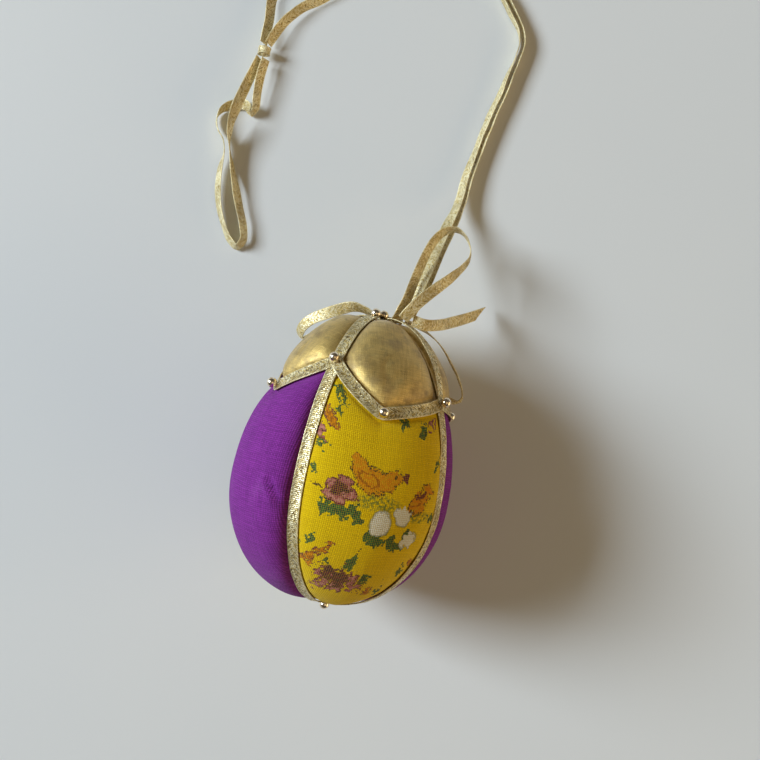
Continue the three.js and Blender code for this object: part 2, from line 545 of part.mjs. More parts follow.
// Each route is a list of [x, y, z, wx, wy, wz]: a point on the ribbon's middle
// line, with x from the egg's axis, and the direction of its width there.
const ROUTES = {
  hanger_strand_inner: [
    [6.8, 41.1, 25.6, 0.9, -0.28, 0.33],
    [7.9, 44.1, 25.2, 0.9, -0.21, 0.38],
    [9.4, 49.1, 23.6, 0.88, 0.01, 0.47],
    [11.2, 57.2, 18.5, 0.86, 0.15, 0.48],
    [12.7, 63.4, 13.5, 0.86, 0.16, 0.48],
    [13.8, 68.2, 10, 0.85, 0.16, 0.49],
    [15.6, 75.4, 4.6, 0.67, 0.34, 0.67],
    [16.9, 86.1, 2.2, 0.5, -0.1, 0.86],
    [19.1, 98.1, 1.9, 0.42, -0.1, 0.9],
    [21.5, 109, 1.9, 0.32, -0.1, 0.94],
    [23.1, 116.1, 1.9, 0.2, 0, 0.98],
    [24.4, 122, 1.9, 0.1, 0, 0.99],
    [24.7, 126.5, 1.9, 0.05, 0, 1],
    [23.6, 129.8, 1.9, 0.02, 0.02, 1],
    [21, 133.5, 1.9, 0, 0.05, 1],
    [17.5, 137.6, 1.9, -0.02, 0.1, 1],
    [12, 142, 1.9, -0.05, 0.2, 1],
    [4.5, 145.2, 1.9, -0.08, 0.3, 0.95],
    [-5, 145.8, 1.9, -0.1, 0.4, 0.9],
    [-15, 142.5, 1.9, -0.2, 0.5, 0.85],
    [-25, 135.6, 1.9, -0.3, 0.6, 0.75],
    [-34.5, 127.6, 2, -0.4, 0.7, 0.6],
    [-39.3, 124.2, 2.2, -0.45, 0.6, 0.6],
    [-43.4, 119.2, 2.6, -0.6, 0.4, 0.6],
    [-45.6, 114.6, 3.1, -0.65, 0.2, 0.7],
    [-46.6, 111.8, 3.4, -0.55, 0.1, 0.8],
  ],
  hanger_strand_outer: [
    [7.9, 40.6, 24, 0.91, -0.25, 0.33],
    [9, 44.2, 23.6, 0.9, -0.19, 0.38],
    [10.7, 49.5, 21.8, 0.88, 0, 0.47],
    [12.7, 57.7, 16.4, 0.86, 0.13, 0.49],
    [14.2, 64, 11.7, 0.86, 0.15, 0.48],
    [15.3, 68.7, 8.4, 0.85, 0.14, 0.5],
    [17, 75.8, 3.6, 0.67, 0.3, 0.68],
    [18.3, 86.1, 2.1, 0.5, -0.1, 0.86],
    [20.4, 98.1, 1.9, 0.42, -0.1, 0.9],
    [22.8, 108.9, 1.9, 0.32, -0.1, 0.94],
    [24.4, 116, 1.9, 0.2, 0, 0.98],
    [25.7, 122.2, 1.9, 0.1, 0, 0.99],
    [26, 127, 1.9, 0.05, 0, 1],
    [24.8, 130.6, 1.9, 0.02, 0.02, 1],
    [22.1, 134.4, 1.9, 0, 0.05, 1],
    [18.7, 138.6, 1.9, -0.02, 0.1, 1],
    [14, 143.2, 1.9, -0.05, 0.2, 1],
    [6, 147.8, 1.9, -0.08, 0.3, 0.95],
    [-5, 150.3, 1.9, -0.1, 0.4, 0.9],
    [-18, 149.8, 1.9, -0.2, 0.4, 0.85],
    [-31, 146, 1.9, -0.4, 0.3, 0.8],
    [-41.5, 139.5, 1.9, -0.6, 0.2, 0.7],
    [-47, 132, 1.9, -0.7, 0.1, 0.68],
    [-48.2, 125, 2, -0.75, 0, 0.65],
    [-47.9, 119.1, 2.3, -0.75, 0, 0.65],
    [-48, 114.6, 2.8, -0.65, 0.1, 0.7],
    [-48.1, 111.8, 3.3, -0.55, 0.1, 0.8],
  ],
  hanging_loop: [
    [-48.4, 107.3, 3.7, -0.5, 0.15, 0.85],
    [-49.2, 103.4, 4.4, -0.65, 0.2, 0.72],
    [-50.5, 98.2, 5.2, -0.72, 0.25, 0.63],
    [-51.8, 92.1, 6.2, -0.74, 0.2, 0.62],
    [-52.6, 85.8, 5.2, -0.4, 0, 0.92],
    [-52.1, 80.4, 3.4, -0.1, 0, 1],
    [-50.2, 74.6, 2.8, -0.35, 0, 0.93],
    [-47.2, 66.4, 2.6, -0.6, 0, 0.8],
    [-44.1, 58.7, 2.5, -0.6, 0, 0.8],
    [-43.3, 55, 2.3, -0.45, 0.3, 0.82],
    [-44.8, 52.4, 2.1, 0, 0.55, 0.83],
    [-47.4, 54, 2.1, 0.45, 0.35, 0.82],
    [-51, 60.4, 2.4, 0.5, 0.1, 0.86],
    [-53.1, 66.4, 2.6, 0.52, 0, 0.85],
    [-53.9, 73.5, 2.8, 0.4, 0, 0.9],
    [-53.6, 79, 3, 0.15, 0, 1],
    [-54.6, 82.4, 2.9, 0.2, -0.1, 0.96],
    [-56.6, 85, 2.6, 0.3, -0.1, 0.94],
    [-57.6, 88.1, 2.3, 0.3, 0.2, 0.92],
    [-56.6, 91.1, 1.9, 0.1, 0.45, 0.85],
    [-54, 92.8, 1.3, 0, 0.85, 0.5],
    [-51.3, 93.8, 1.3, 0.1, 0.85, 0.5],
    [-49.2, 93.1, 1.9, 0.3, 0.5, 0.8],
    [-48.1, 91.3, 2.2, 0.1, 0.1, 1],
    [-47, 93, 2.6, -0.4, 0, 0.9],
    [-47.2, 96, 3.2, -0.65, 0, 0.75],
    [-47.2, 101.8, 3.8, -0.72, 0.1, 0.68],
    [-46.6, 107.3, 3.7, -0.6, 0.1, 0.75],
  ],
  bow_loop_upper: [
    [4.9, 39.1, 26.2, -0.93, -0.1, 0.34],
    [5.3, 40.9, 27.6, -0.87, 0.12, 0.49],
    [6.4, 44.9, 27.4, -0.71, 0.33, 0.62],
    [7.4, 50, 25.2, -0.6, 0.42, 0.68],
    [8.8, 56.3, 22.4, -0.52, 0.49, 0.7],
    [10.8, 62.5, 19, -0.43, 0.58, 0.69],
    [13, 65.7, 17.2, -0.21, 0.67, 0.71],
    [15.9, 67.3, 16, 0.2, 0.41, 0.89],
    [19.1, 66.2, 15.6, 0.07, 0.09, 0.99],
    [21.2, 63.1, 16, -0.16, 0.18, 0.97],
    [21.5, 59.8, 17.2, -0.19, 0.46, 0.87],
    [19.8, 56.5, 19.2, -0.23, 0.66, 0.71],
    [17, 52.9, 22.2, -0.39, 0.77, 0.5],
    [13.9, 49.5, 25.2, -0.49, 0.76, 0.42],
    [10.6, 45.7, 27.8, -0.65, 0.68, 0.36],
    [8, 42.1, 28.6, -0.77, 0.54, 0.34],
    [6.4, 39.4, 28, -0.84, 0.44, 0.32],
  ],
  bow_loop_left: [
    [3.4, 38.9, 24, 0.08, 0.2, 0.98],
    [0.7, 39, 24.2, 0.17, 0.19, 0.97],
    [-1.6, 39.3, 24.8, 0.26, 0.2, 0.94],
    [-4.4, 40.1, 25.4, 0.18, 0.59, 0.79],
    [-7.5, 40.3, 25.4, -0.17, 0.88, 0.44],
    [-10.6, 39.1, 25, -0.42, 0.91, 0.03],
    [-14.4, 37.2, 24, -0.45, 0.89, -0.09],
    [-18, 35.1, 22.4, -0.48, 0.84, -0.25],
    [-20.2, 32.8, 20.4, -0.56, 0.74, -0.37],
    [-20.9, 30.5, 17.8, -0.62, 0.59, -0.52],
    [-19.7, 29.3, 15.8, -0.56, 0.33, -0.76],
    [-17.9, 31.1, 15.8, -0.05, 0.39, -0.92],
    [-15.2, 33.6, 17.4, 0.11, 0.45, -0.89],
    [-12.5, 36, 19, 0.13, 0.42, -0.9],
    [-9.8, 38.3, 20.4, 0.13, 0.39, -0.91],
    [-7.2, 39.4, 21.2, 0.15, 0.29, -0.95],
    [-4.4, 39.4, 21.6, 0.13, 0.19, -0.97],
    [-1.4, 38.6, 21.8, 0.06, 0.09, -0.99],
    [0.9, 38.3, 21.8, 0.02, 0.05, -1],
    [3.5, 38.4, 21.9, 0.04, 0.05, -1],
  ],
  bow_tail_side: [
    [7.1, 39.1, 23.8, 0.17, 0.29, 0.94],
    [9.2, 38.8, 23.5, 0.22, 0.27, 0.94],
    [11.7, 38, 23, 0.23, 0.19, 0.95],
    [14.4, 36.9, 22.6, 0.21, 0.09, 0.97],
    [18, 34.5, 22, 0.24, -0.11, 0.97],
    [21.9, 30.2, 20, 0.29, -0.3, 0.91],
    [25.2, 25.8, 16.8, 0.25, -0.4, 0.88],
    [26.6, 22.7, 15.2, 0.09, -0.42, 0.9],
    [26.1, 20.4, 14.2, -0.48, 0.09, 0.87],
    [23.9, 20.1, 14, -0.15, 0.59, 0.79],
  ],
  bow_tail_end: [
    [9, 39.5, 26.9, 0.16, 0.98, 0.08],
    [12.2, 39, 26.6, -0.02, 1, 0.08],
    [16.7, 40.1, 21.4, -0.11, 0.98, 0.18],
    [20.9, 42.2, 14.2, -0.14, 0.96, 0.23],
    [24.7, 44.3, 8.8, -0.15, 0.95, 0.29],
    [28.2, 46.4, 4.2, -0.14, 0.94, 0.32],
  ],
};

const STEPS = {
  hanger_strand_inner: 28,
  hanger_strand_outer: 30,
  hanging_loop: 46,
  bow_loop_upper: 24,
  bow_loop_left: 26,
  bow_tail_side: 12,
  bow_tail_end: 8,
};

function framesAlong(route, steps) {
  const middle = new THREE.CatmullRomCurve3(route.map(([x, y, z]) => new THREE.Vector3(AXIS_X + x, y, z)));
  const widths = new THREE.CatmullRomCurve3(route.map(([, , , x, y, z]) => new THREE.Vector3(x, y, z)));
  return spread(0, 1, steps).map((t) => {
    const tangent = middle.getTangent(t);
    const width = widths.getPoint(t);
    const across = width.addScaledVector(tangent, -width.dot(tangent)).normalize();
    return { at: middle.getPoint(t), across, up: new THREE.Vector3().crossVectors(tangent, across) };
  });
}

for (const [name, route] of Object.entries(ROUTES)) {
  const frames = framesAlong(route, STEPS[name]);
  addMesh(name, strip(frames, RIBBON_WIDTH, RIBBON_THICKNESS, OCTAGON), MATERIALS.ribbon);
}

// ---------- knots ----------

// A knot is a rounded barrel, turned to lie along its ribbon where it needs to.
function knotBarrel(radius, halfLength) {
  const profile = [
    new THREE.Vector2(0, -halfLength),
    new THREE.Vector2(radius * 0.7, -halfLength),
    new THREE.Vector2(radius, -halfLength * 0.6),
    new THREE.Vector2(radius, halfLength * 0.6),
    new THREE.Vector2(radius * 0.7, halfLength),
    new THREE.Vector2(0, halfLength),
  ];
  return new THREE.LatheGeometry(profile, 12);
}

const BOW_KNOT = { radius: 1.3, halfLength: 1.6, at: new THREE.Vector3(AXIS_X + 4.9, 39.1, 23.2) };
const HANGER_KNOT = { radius: 1.6, halfLength: 1.7, at: new THREE.Vector3(AXIS_X - 47.4, 109.6, 3.4) };

addMesh('bow_knot', knotBarrel(BOW_KNOT.radius, BOW_KNOT.halfLength).rotateX(Math.PI / 2), MATERIALS.ribbon)
  .position.copy(BOW_KNOT.at);
addMesh('hanger_knot', knotBarrel(HANGER_KNOT.radius, HANGER_KNOT.halfLength), MATERIALS.ribbon)
  .position.copy(HANGER_KNOT.at);

export default ornament;
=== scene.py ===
"""The looks of the padded fabric egg ornament, built around its CAD model.

The CAD model gives every piece its place and size. Here each cloth section, ribbon
and pin is made again with the detail of the real thing, and gets its material. The
foam core and the batting pads keep their CAD shapes.

Lengths are millimetres until a piece is made, and then metres. A place on the egg is
given by phi (0 at the blunt pole, pi at the narrow pole), theta (0 on top, positive
towards +X) and a height above the level of the seams.
"""

import math

import bpy
import numpy as np
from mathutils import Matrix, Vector, noise


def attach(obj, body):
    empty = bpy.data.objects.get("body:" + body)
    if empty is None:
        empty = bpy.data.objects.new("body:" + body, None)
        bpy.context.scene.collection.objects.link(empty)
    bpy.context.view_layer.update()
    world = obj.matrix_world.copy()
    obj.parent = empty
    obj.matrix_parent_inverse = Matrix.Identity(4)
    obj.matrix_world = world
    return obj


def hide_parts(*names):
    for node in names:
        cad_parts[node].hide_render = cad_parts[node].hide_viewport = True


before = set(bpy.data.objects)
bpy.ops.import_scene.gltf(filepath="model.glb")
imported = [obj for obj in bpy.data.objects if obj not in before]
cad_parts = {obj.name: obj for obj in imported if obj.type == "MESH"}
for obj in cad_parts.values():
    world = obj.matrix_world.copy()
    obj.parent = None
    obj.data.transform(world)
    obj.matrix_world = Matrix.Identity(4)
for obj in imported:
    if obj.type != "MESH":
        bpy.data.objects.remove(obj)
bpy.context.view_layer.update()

MM = 0.001

# ---------- dimensions that the CAD model has too ----------

SEAM_RADIUS = 27.0
BLUNT_HALF = 30.6
SHARP_HALF = 45.8
WIDEST_Y = -7.6
AXIS_HEIGHT = 28.8
AXIS_X = 1.6
POLE_OPENING = {"blunt": 2.6, "sharp": 3.3}
HEM_SLANT = 0.72  # from a distance along the egg to one square to the slanting hem

RIBBON_WIDTH = 3.2
RIBBON_HEIGHT = 0.5

PIN_BALL = 1.35
PIN_SHAFT = 0.3
PIN_LENGTH = 16.0
PIN_LIFT = 2.25
POLE_PIN_DROP = 1.05

# name, angle in degrees, and y of the corner where the cap's hem meets the seam
SEAMS = [
    ("front_left", -25, 24.6),
    ("front_right", 61, 18.8),
    ("back_right", 155, 22.0),
    ("back_left", 241, 22.5),
]

# name, colour, how far the padding stands up, y of the petal's tip, and where the tip
# lies across the side from -1 to 1
SIDES = [
    ("front", "yellow", 2.8, 13.9, -0.12),
    ("right", "purple", 0.6, 15.2, 0.0),
    ("back", "yellow", 2.8, 15.0, 0.0),
    ("left", "purple", 4.2, 15.6, 0.0),
]
SLACK = [0.8, 0.0, 0.0, 0.0]  # share of the padding missing at the blunt end, on the right
SLACK_FROM = -2.0
SLACK_LENGTH = 20.0

BOW_KNOT = {"at": (4.9, 39.1, 23.2), "axis": (0, 0, 1), "radius": 1.3, "half_length": 1.6}
HANGER_KNOT = {"at": (-47.4, 109.6, 3.4), "axis": (0, 1, 0), "radius": 1.6, "half_length": 1.7}

# ---------- dimensions of the finer shapes ----------

CAP_PUFF = 2.2
SHOULDER = {"yellow": 8.5, "purple": 8.0, "cap": 6.5}  # width over which padding rises
HEM_SHOULDER = {"yellow": 22.0, "purple": 28.0, "cap": 6.5}
POLE_SHOULDER = {"yellow": 24.0, "purple": 24.0, "cap": 7.0}
STEEPNESS = {"yellow": 2.5, "purple": 3.4, "cap": 2.6}
PAD_START = {"yellow": 1.75, "purple": 1.5, "cap": 1.7}  # from the seam to where it rises
CLOTH = 0.35
TUCK_DEPTH = 2.6
EDGE_HEIGHT = -0.1
SEAM_HALF_GAP = 0.6
SWELL_WAVELENGTH, SWELL_DEPTH = 17.0, 0.28  # of uneven padding
GATHER_REACH, GATHER_DEPTH = 2.6, 0.3  # of the little folds along the tucked edges
UNDER_RIBBON = 1.2  # from a seam to where the ribbon no longer presses the cloth flat
GATHER_START = 1.5

RIBBON_THICKNESS = 0.3
FREE_RIBBON_THICKNESS = 0.26
RIBBON_STEP = 0.9  # between the rings of vertices along a ribbon

FULL_TURN = 2 * math.pi

# ---------- the routes of the free ribbons ----------

# Each row is a point on the ribbon's middle line, with x from the egg's axis, and the
# direction of the ribbon's width there.
ROUTES = {
    "hanger_strand_inner": [
        (6.8, 41.1, 25.6, 0.9, -0.28, 0.33), (7.9, 44.1, 25.2, 0.9, -0.21, 0.38),
        (9.4, 49.1, 23.6, 0.88, 0.01, 0.47), (11.2, 57.2, 18.5, 0.86, 0.15, 0.48),
        (12.7, 63.4, 13.5, 0.86, 0.16, 0.48), (13.8, 68.2, 10, 0.85, 0.16, 0.49),
        (15.6, 75.4, 4.6, 0.67, 0.34, 0.67), (16.9, 86.1, 2.2, 0.5, -0.1, 0.86),
        (19.1, 98.1, 1.9, 0.42, -0.1, 0.9), (21.5, 109, 1.9, 0.32, -0.1, 0.94),
        (23.1, 116.1, 1.9, 0.2, 0, 0.98), (24.4, 122, 1.9, 0.1, 0, 0.99),
        (24.7, 126.5, 1.9, 0.05, 0, 1), (23.6, 129.8, 1.9, 0.02, 0.02, 1),
        (21, 133.5, 1.9, 0, 0.05, 1), (17.5, 137.6, 1.9, -0.02, 0.1, 1),
        (12, 142, 1.9, -0.05, 0.2, 1), (4.5, 145.2, 1.9, -0.08, 0.3, 0.95),
        (-5, 145.8, 1.9, -0.1, 0.4, 0.9), (-15, 142.5, 1.9, -0.2, 0.5, 0.85),
        (-25, 135.6, 1.9, -0.3, 0.6, 0.75), (-34.5, 127.6, 2, -0.4, 0.7, 0.6),
        (-39.3, 124.2, 2.2, -0.45, 0.6, 0.6), (-43.4, 119.2, 2.6, -0.6, 0.4, 0.6),
        (-45.6, 114.6, 3.1, -0.65, 0.2, 0.7), (-46.6, 111.8, 3.4, -0.55, 0.1, 0.8),
    ],
    "hanger_strand_outer": [
        (7.9, 40.6, 24, 0.91, -0.25, 0.33), (9, 44.2, 23.6, 0.9, -0.19, 0.38),
        (10.7, 49.5, 21.8, 0.88, 0, 0.47), (12.7, 57.7, 16.4, 0.86, 0.13, 0.49),
        (14.2, 64, 11.7, 0.86, 0.15, 0.48), (15.3, 68.7, 8.4, 0.85, 0.14, 0.5),
        (17, 75.8, 3.6, 0.67, 0.3, 0.68), (18.3, 86.1, 2.1, 0.5, -0.1, 0.86),
        (20.4, 98.1, 1.9, 0.42, -0.1, 0.9), (22.8, 108.9, 1.9, 0.32, -0.1, 0.94),
        (24.4, 116, 1.9, 0.2, 0, 0.98), (25.7, 122.2, 1.9, 0.1, 0, 0.99),
        (26, 127, 1.9, 0.05, 0, 1), (24.8, 130.6, 1.9, 0.02, 0.02, 1),
        (22.1, 134.4, 1.9, 0, 0.05, 1), (18.7, 138.6, 1.9, -0.02, 0.1, 1),
        (14, 143.2, 1.9, -0.05, 0.2, 1), (6, 147.8, 1.9, -0.08, 0.3, 0.95),
        (-5, 150.3, 1.9, -0.1, 0.4, 0.9), (-18, 149.8, 1.9, -0.2, 0.4, 0.85),
        (-31, 146, 1.9, -0.4, 0.3, 0.8), (-41.5, 139.5, 1.9, -0.6, 0.2, 0.7),
        (-47, 132, 1.9, -0.7, 0.1, 0.68), (-48.2, 125, 2, -0.75, 0, 0.65),
        (-47.9, 119.1, 2.3, -0.75, 0, 0.65), (-48, 114.6, 2.8, -0.65, 0.1, 0.7),
        (-48.1, 111.8, 3.3, -0.55, 0.1, 0.8),
    ],
    "hanging_loop": [
        (-48.4, 107.3, 3.7, -0.5, 0.15, 0.85), (-49.2, 103.4, 4.4, -0.65, 0.2, 0.72),
        (-50.5, 98.2, 5.2, -0.72, 0.25, 0.63), (-51.8, 92.1, 6.2, -0.74, 0.2, 0.62),
        (-52.6, 85.8, 5.2, -0.4, 0, 0.92), (-52.1, 80.4, 3.4, -0.1, 0, 1),
        (-50.2, 74.6, 2.8, -0.35, 0, 0.93), (-47.2, 66.4, 2.6, -0.6, 0, 0.8),
        (-44.1, 58.7, 2.5, -0.6, 0, 0.8), (-43.3, 55, 2.3, -0.45, 0.3, 0.82),
        (-44.8, 52.4, 2.1, 0, 0.55, 0.83), (-47.4, 54, 2.1, 0.45, 0.35, 0.82),
        (-51, 60.4, 2.4, 0.5, 0.1, 0.86), (-53.1, 66.4, 2.6, 0.52, 0, 0.85),
        (-53.9, 73.5, 2.8, 0.4, 0, 0.9), (-53.6, 79, 3, 0.15, 0, 1),
        (-54.6, 82.4, 2.9, 0.2, -0.1, 0.96), (-56.6, 85, 2.6, 0.3, -0.1, 0.94),
        (-57.6, 88.1, 2.3, 0.3, 0.2, 0.92), (-56.6, 91.1, 1.9, 0.1, 0.45, 0.85),
        (-54, 92.8, 1.3, 0, 0.85, 0.5), (-51.3, 93.8, 1.3, 0.1, 0.85, 0.5),
        (-49.2, 93.1, 1.9, 0.3, 0.5, 0.8), (-48.1, 91.3, 2.2, 0.1, 0.1, 1),
        (-47, 93, 2.6, -0.4, 0, 0.9), (-47.2, 96, 3.2, -0.65, 0, 0.75),
        (-47.2, 101.8, 3.8, -0.72, 0.1, 0.68), (-46.6, 107.3, 3.7, -0.6, 0.1, 0.75),
    ],
    "bow_loop_upper": [
        (4.9, 39.1, 26.2, -0.93, -0.1, 0.34), (5.3, 40.9, 27.6, -0.87, 0.12, 0.49),
        (6.4, 44.9, 27.4, -0.71, 0.33, 0.62), (7.4, 50, 25.2, -0.6, 0.42, 0.68),
        (8.8, 56.3, 22.4, -0.52, 0.49, 0.7), (10.8, 62.5, 19, -0.43, 0.58, 0.69),
        (13, 65.7, 17.2, -0.21, 0.67, 0.71), (15.9, 67.3, 16, 0.2, 0.41, 0.89),
        (19.1, 66.2, 15.6, 0.07, 0.09, 0.99), (21.2, 63.1, 16, -0.16, 0.18, 0.97),
        (21.5, 59.8, 17.2, -0.19, 0.46, 0.87), (19.8, 56.5, 19.2, -0.23, 0.66, 0.71),
        (17, 52.9, 22.2, -0.39, 0.77, 0.5), (13.9, 49.5, 25.2, -0.49, 0.76, 0.42),
        (10.6, 45.7, 27.8, -0.65, 0.68, 0.36), (8, 42.1, 28.6, -0.77, 0.54, 0.34),
        (6.4, 39.4, 28, -0.84, 0.44, 0.32),
    ],
    "bow_loop_left": [
        (3.4, 38.9, 24, 0.08, 0.2, 0.98), (0.7, 39, 24.2, 0.17, 0.19, 0.97),
        (-1.6, 39.3, 24.8, 0.26, 0.2, 0.94), (-4.4, 40.1, 25.4, 0.18, 0.59, 0.79),
        (-7.5, 40.3, 25.4, -0.17, 0.88, 0.44), (-10.6, 39.1, 25, -0.42, 0.91, 0.03),
        (-14.4, 37.2, 24, -0.45, 0.89, -0.09), (-18, 35.1, 22.4, -0.48, 0.84, -0.25),
        (-20.2, 32.8, 20.4, -0.56, 0.74, -0.37), (-20.9, 30.5, 17.8, -0.62, 0.59, -0.52),
        (-19.7, 29.3, 15.8, -0.56, 0.33, -0.76), (-17.9, 31.1, 15.8, -0.05, 0.39, -0.92),
        (-15.2, 33.6, 17.4, 0.11, 0.45, -0.89), (-12.5, 36, 19, 0.13, 0.42, -0.9),
        (-9.8, 38.3, 20.4, 0.13, 0.39, -0.91), (-7.2, 39.4, 21.2, 0.15, 0.29, -0.95),
        (-4.4, 39.4, 21.6, 0.13, 0.19, -0.97), (-1.4, 38.6, 21.8, 0.06, 0.09, -0.99),
        (0.9, 38.3, 21.8, 0.02, 0.05, -1), (3.5, 38.4, 21.9, 0.04, 0.05, -1),
    ],
    "bow_tail_side": [
        (7.1, 39.1, 23.8, 0.17, 0.29, 0.94), (9.2, 38.8, 23.5, 0.22, 0.27, 0.94),
        (11.7, 38, 23, 0.23, 0.19, 0.95), (14.4, 36.9, 22.6, 0.21, 0.09, 0.97),
        (18, 34.5, 22, 0.24, -0.11, 0.97), (21.9, 30.2, 20, 0.29, -0.3, 0.91),
        (25.2, 25.8, 16.8, 0.25, -0.4, 0.88), (26.6, 22.7, 15.2, 0.09, -0.42, 0.9),
        (26.1, 20.4, 14.2, -0.48, 0.09, 0.87), (23.9, 20.1, 14, -0.15, 0.59, 0.79),
    ],
    "bow_tail_end": [
        (9, 39.5, 26.9, 0.16, 0.98, 0.08), (12.2, 39, 26.6, -0.02, 1, 0.08),
        (16.7, 40.1, 21.4, -0.11, 0.98, 0.18), (20.9, 42.2, 14.2, -0.14, 0.96, 0.23),
        (24.7, 44.3, 8.8, -0.15, 0.95, 0.29), (28.2, 46.4, 4.2, -0.14, 0.94, 0.32),
    ],
}

# ---------- the camera ----------

VIEW_ANGLE = 37.37  # degrees across the picture
VIEW_ROLL = 10.8
VIEW_FROM = (3.37, 22.2, 329.1)  # x from the egg's axis


def make_camera():
    data = bpy.data.cameras.new("camera")
    data.sensor_fit = "HORIZONTAL"
    data.angle = math.radians(VIEW_ANGLE)
    data.clip_start = 0.005
    camera = bpy.data.objects.new("camera", data)
    x, y, z = VIEW_FROM
    camera.location = Vector((AXIS_X + x, y, z)) * MM
    camera.rotation_euler = (0, 0, math.radians(VIEW_ROLL))
    bpy.context.scene.collection.objects.link(camera)
    bpy.context.scene.camera = camera


make_camera()

# ---------- the egg's surface ----------


def egg_section(phi):
    """y and radius of the seam surface at phi, and the parts of its normal along y and outwards."""
    half = np.where(phi < math.pi / 2, BLUNT_HALF, SHARP_HALF)
    along = -np.cos(phi) / half
    outward = np.sin(phi) / SEAM_RADIUS
    size = np.hypot(along, outward)
    return WIDEST_Y - half * np.cos(phi), SEAM_RADIUS * np.sin(phi), along / size, outward / size


def egg_point(phi, theta, height):
    y, r, along, outward = egg_section(phi)
    radius = r + height * outward
    x, z = AXIS_X + radius * np.sin(theta), AXIS_HEIGHT + radius * np.cos(theta)
    parts = (x, y + height * along, z)
    return np.stack(np.broadcast_arrays(*parts), -1)


def egg_normal(phi, theta):
    _, _, along, outward = egg_section(phi)
    parts = (outward * np.sin(theta), along, outward * np.cos(theta))
    return np.stack(np.broadcast_arrays(*parts), -1)


def phi_at(y):
    half = np.where(y < WIDEST_Y, BLUNT_HALF, SHARP_HALF)
    return np.arccos((WIDEST_Y - y) / half)


def phi_of_radius(radius):
    return math.asin(radius / SEAM_RADIUS)


def running_length(points):
    """Length along a line of points, up to each of them."""
    return np.concatenate([[0], np.cumsum(np.linalg.norm(np.diff(points, axis=0), axis=1))])


ARC_PHI = np.linspace(0, math.pi, 721)
ARC_LENGTH = running_length(egg_point(ARC_PHI, 0 * ARC_PHI, 0))
ARC_WIDEST = np.interp(math.pi / 2, ARC_PHI, ARC_LENGTH)


def arc_at(phi):
    """Length along a meridian from the widest section, positive towards the narrow end."""
    return np.interp(phi, ARC_PHI, ARC_LENGTH) - ARC_WIDEST


def seams_of(side):
    return SEAMS[side], SEAMS[(side + 1) % len(SEAMS)]


def hem_y(side, u):
    left, right = seams_of(side)
    tip, tip_at = SIDES[side][3:]
    corner = np.where(u < tip_at, left[2], right[2])
    share = np.abs(u - tip_at) / np.where(u < tip_at, 1 + tip_at, 1 - tip_at)
    return tip + (corner - tip) * share**1.1


def half_span(side):
    """Half of the angle between a side's two seams."""
    left, right = seams_of(side)
    return math.radians((right[1] - left[1]) % 360) / 2


def theta_at(side, u):
    return math.radians(SEAMS[side][1]) + half_span(side) * (u + 1)


# ---------- meshes ----------


def ripple(points, wavelength, seed):
    """Smooth noise from about -1 to 1 at each point of an array of points."""
    flat = np.asarray(points, float).reshape(-1, points.shape[-1]) / wavelength
    shift = Vector((seed * 7.31, seed * -3.7, seed * 5.13))
    values = [noise.noise(Vector((p[0], p[1], p[2] if len(p) > 2 else 0)) + shift) for p in flat]
    return np.array(values).reshape(points.shape[:-1])


def signed_volume(vertices, faces):
    fans = [(face[0], face[k], face[k + 1]) for face in faces for k in range(1, len(face) - 1)]
    a, b, c = (vertices[column] for column in np.array(fans).T)
    return float(np.sum(a * np.cross(b, c))) / 6


def grid_shell(outer, inner):
    """Vertices and faces of the closed solid between two grids of points."""
    rows, columns = outer.shape[:2]
    top = np.arange(rows * columns).reshape(rows, columns)
    under = top + rows * columns
    faces = []
    for i in range(rows - 1):
        for j in range(columns - 1):
            faces.append((top[i, j], top[i, j + 1], top[i + 1, j + 1], top[i + 1, j]))
            faces.append((under[i, j], under[i + 1, j], under[i + 1, j + 1], under[i, j + 1]))
    for i in range(rows - 1):
        faces.append((top[i, 0], top[i + 1, 0], under[i + 1, 0], under[i, 0]))
        faces.append((top[i, -1], under[i, -1], under[i + 1, -1], top[i + 1, -1]))
    for j in range(columns - 1):
        faces.append((top[0, j], under[0, j], under[0, j + 1], top[0, j + 1]))
        faces.append((top[-1, j], top[-1, j + 1], under[-1, j + 1], under[-1, j]))
    return np.concatenate([outer.reshape(-1, 3), inner.reshape(-1, 3)]), faces


def rings_to_tube(rings):
    """Vertices and faces of the closed solid through rings of points, with an end cap at each end."""
    count, around = len(rings), len(rings[0])
    index = np.arange(count * around).reshape(count, around)
    faces = [tuple(index[0][::-1]), tuple(index[-1])]
    for i in range(count - 1):
        for j in range(around):
            k = (j + 1) % around
            faces.append((index[i, j], index[i, k], index[i + 1, k], index[i + 1, j]))
    return np.concatenate(rings), faces


def make_piece(name, vertices, faces, cloth, material, replaced, sharp=60):
    """A finished piece from millimetre vertices. cloth holds each vertex's place on the cloth."""
    faces = [tuple(int(k) for k in face) for face in faces]
    if signed_volume(vertices - vertices.mean(0), faces) < 0:
        faces = [face[::-1] for face in faces]
    mesh = bpy.data.meshes.new(name)
    mesh.from_pydata([tuple(v) for v in vertices * MM], [], faces)
    layer = mesh.uv_layers.new(name="cloth")
    corners = np.array([loop.vertex_index for loop in mesh.loops])
    layer.data.foreach_set("uv", np.asarray(cloth, np.float32)[corners].ravel())
    mesh.polygons.foreach_set("use_smooth", [True] * len(mesh.polygons))
    mesh.set_sharp_from_angle(angle=math.radians(sharp))
    mesh.materials.append(material)
    mesh.validate()
    piece = bpy.data.objects.new(name, mesh)
    bpy.context.scene.collection.objects.link(piece)
    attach(piece, "root")
    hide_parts(*replaced)
    return piece


# ---------- ribbons ----------

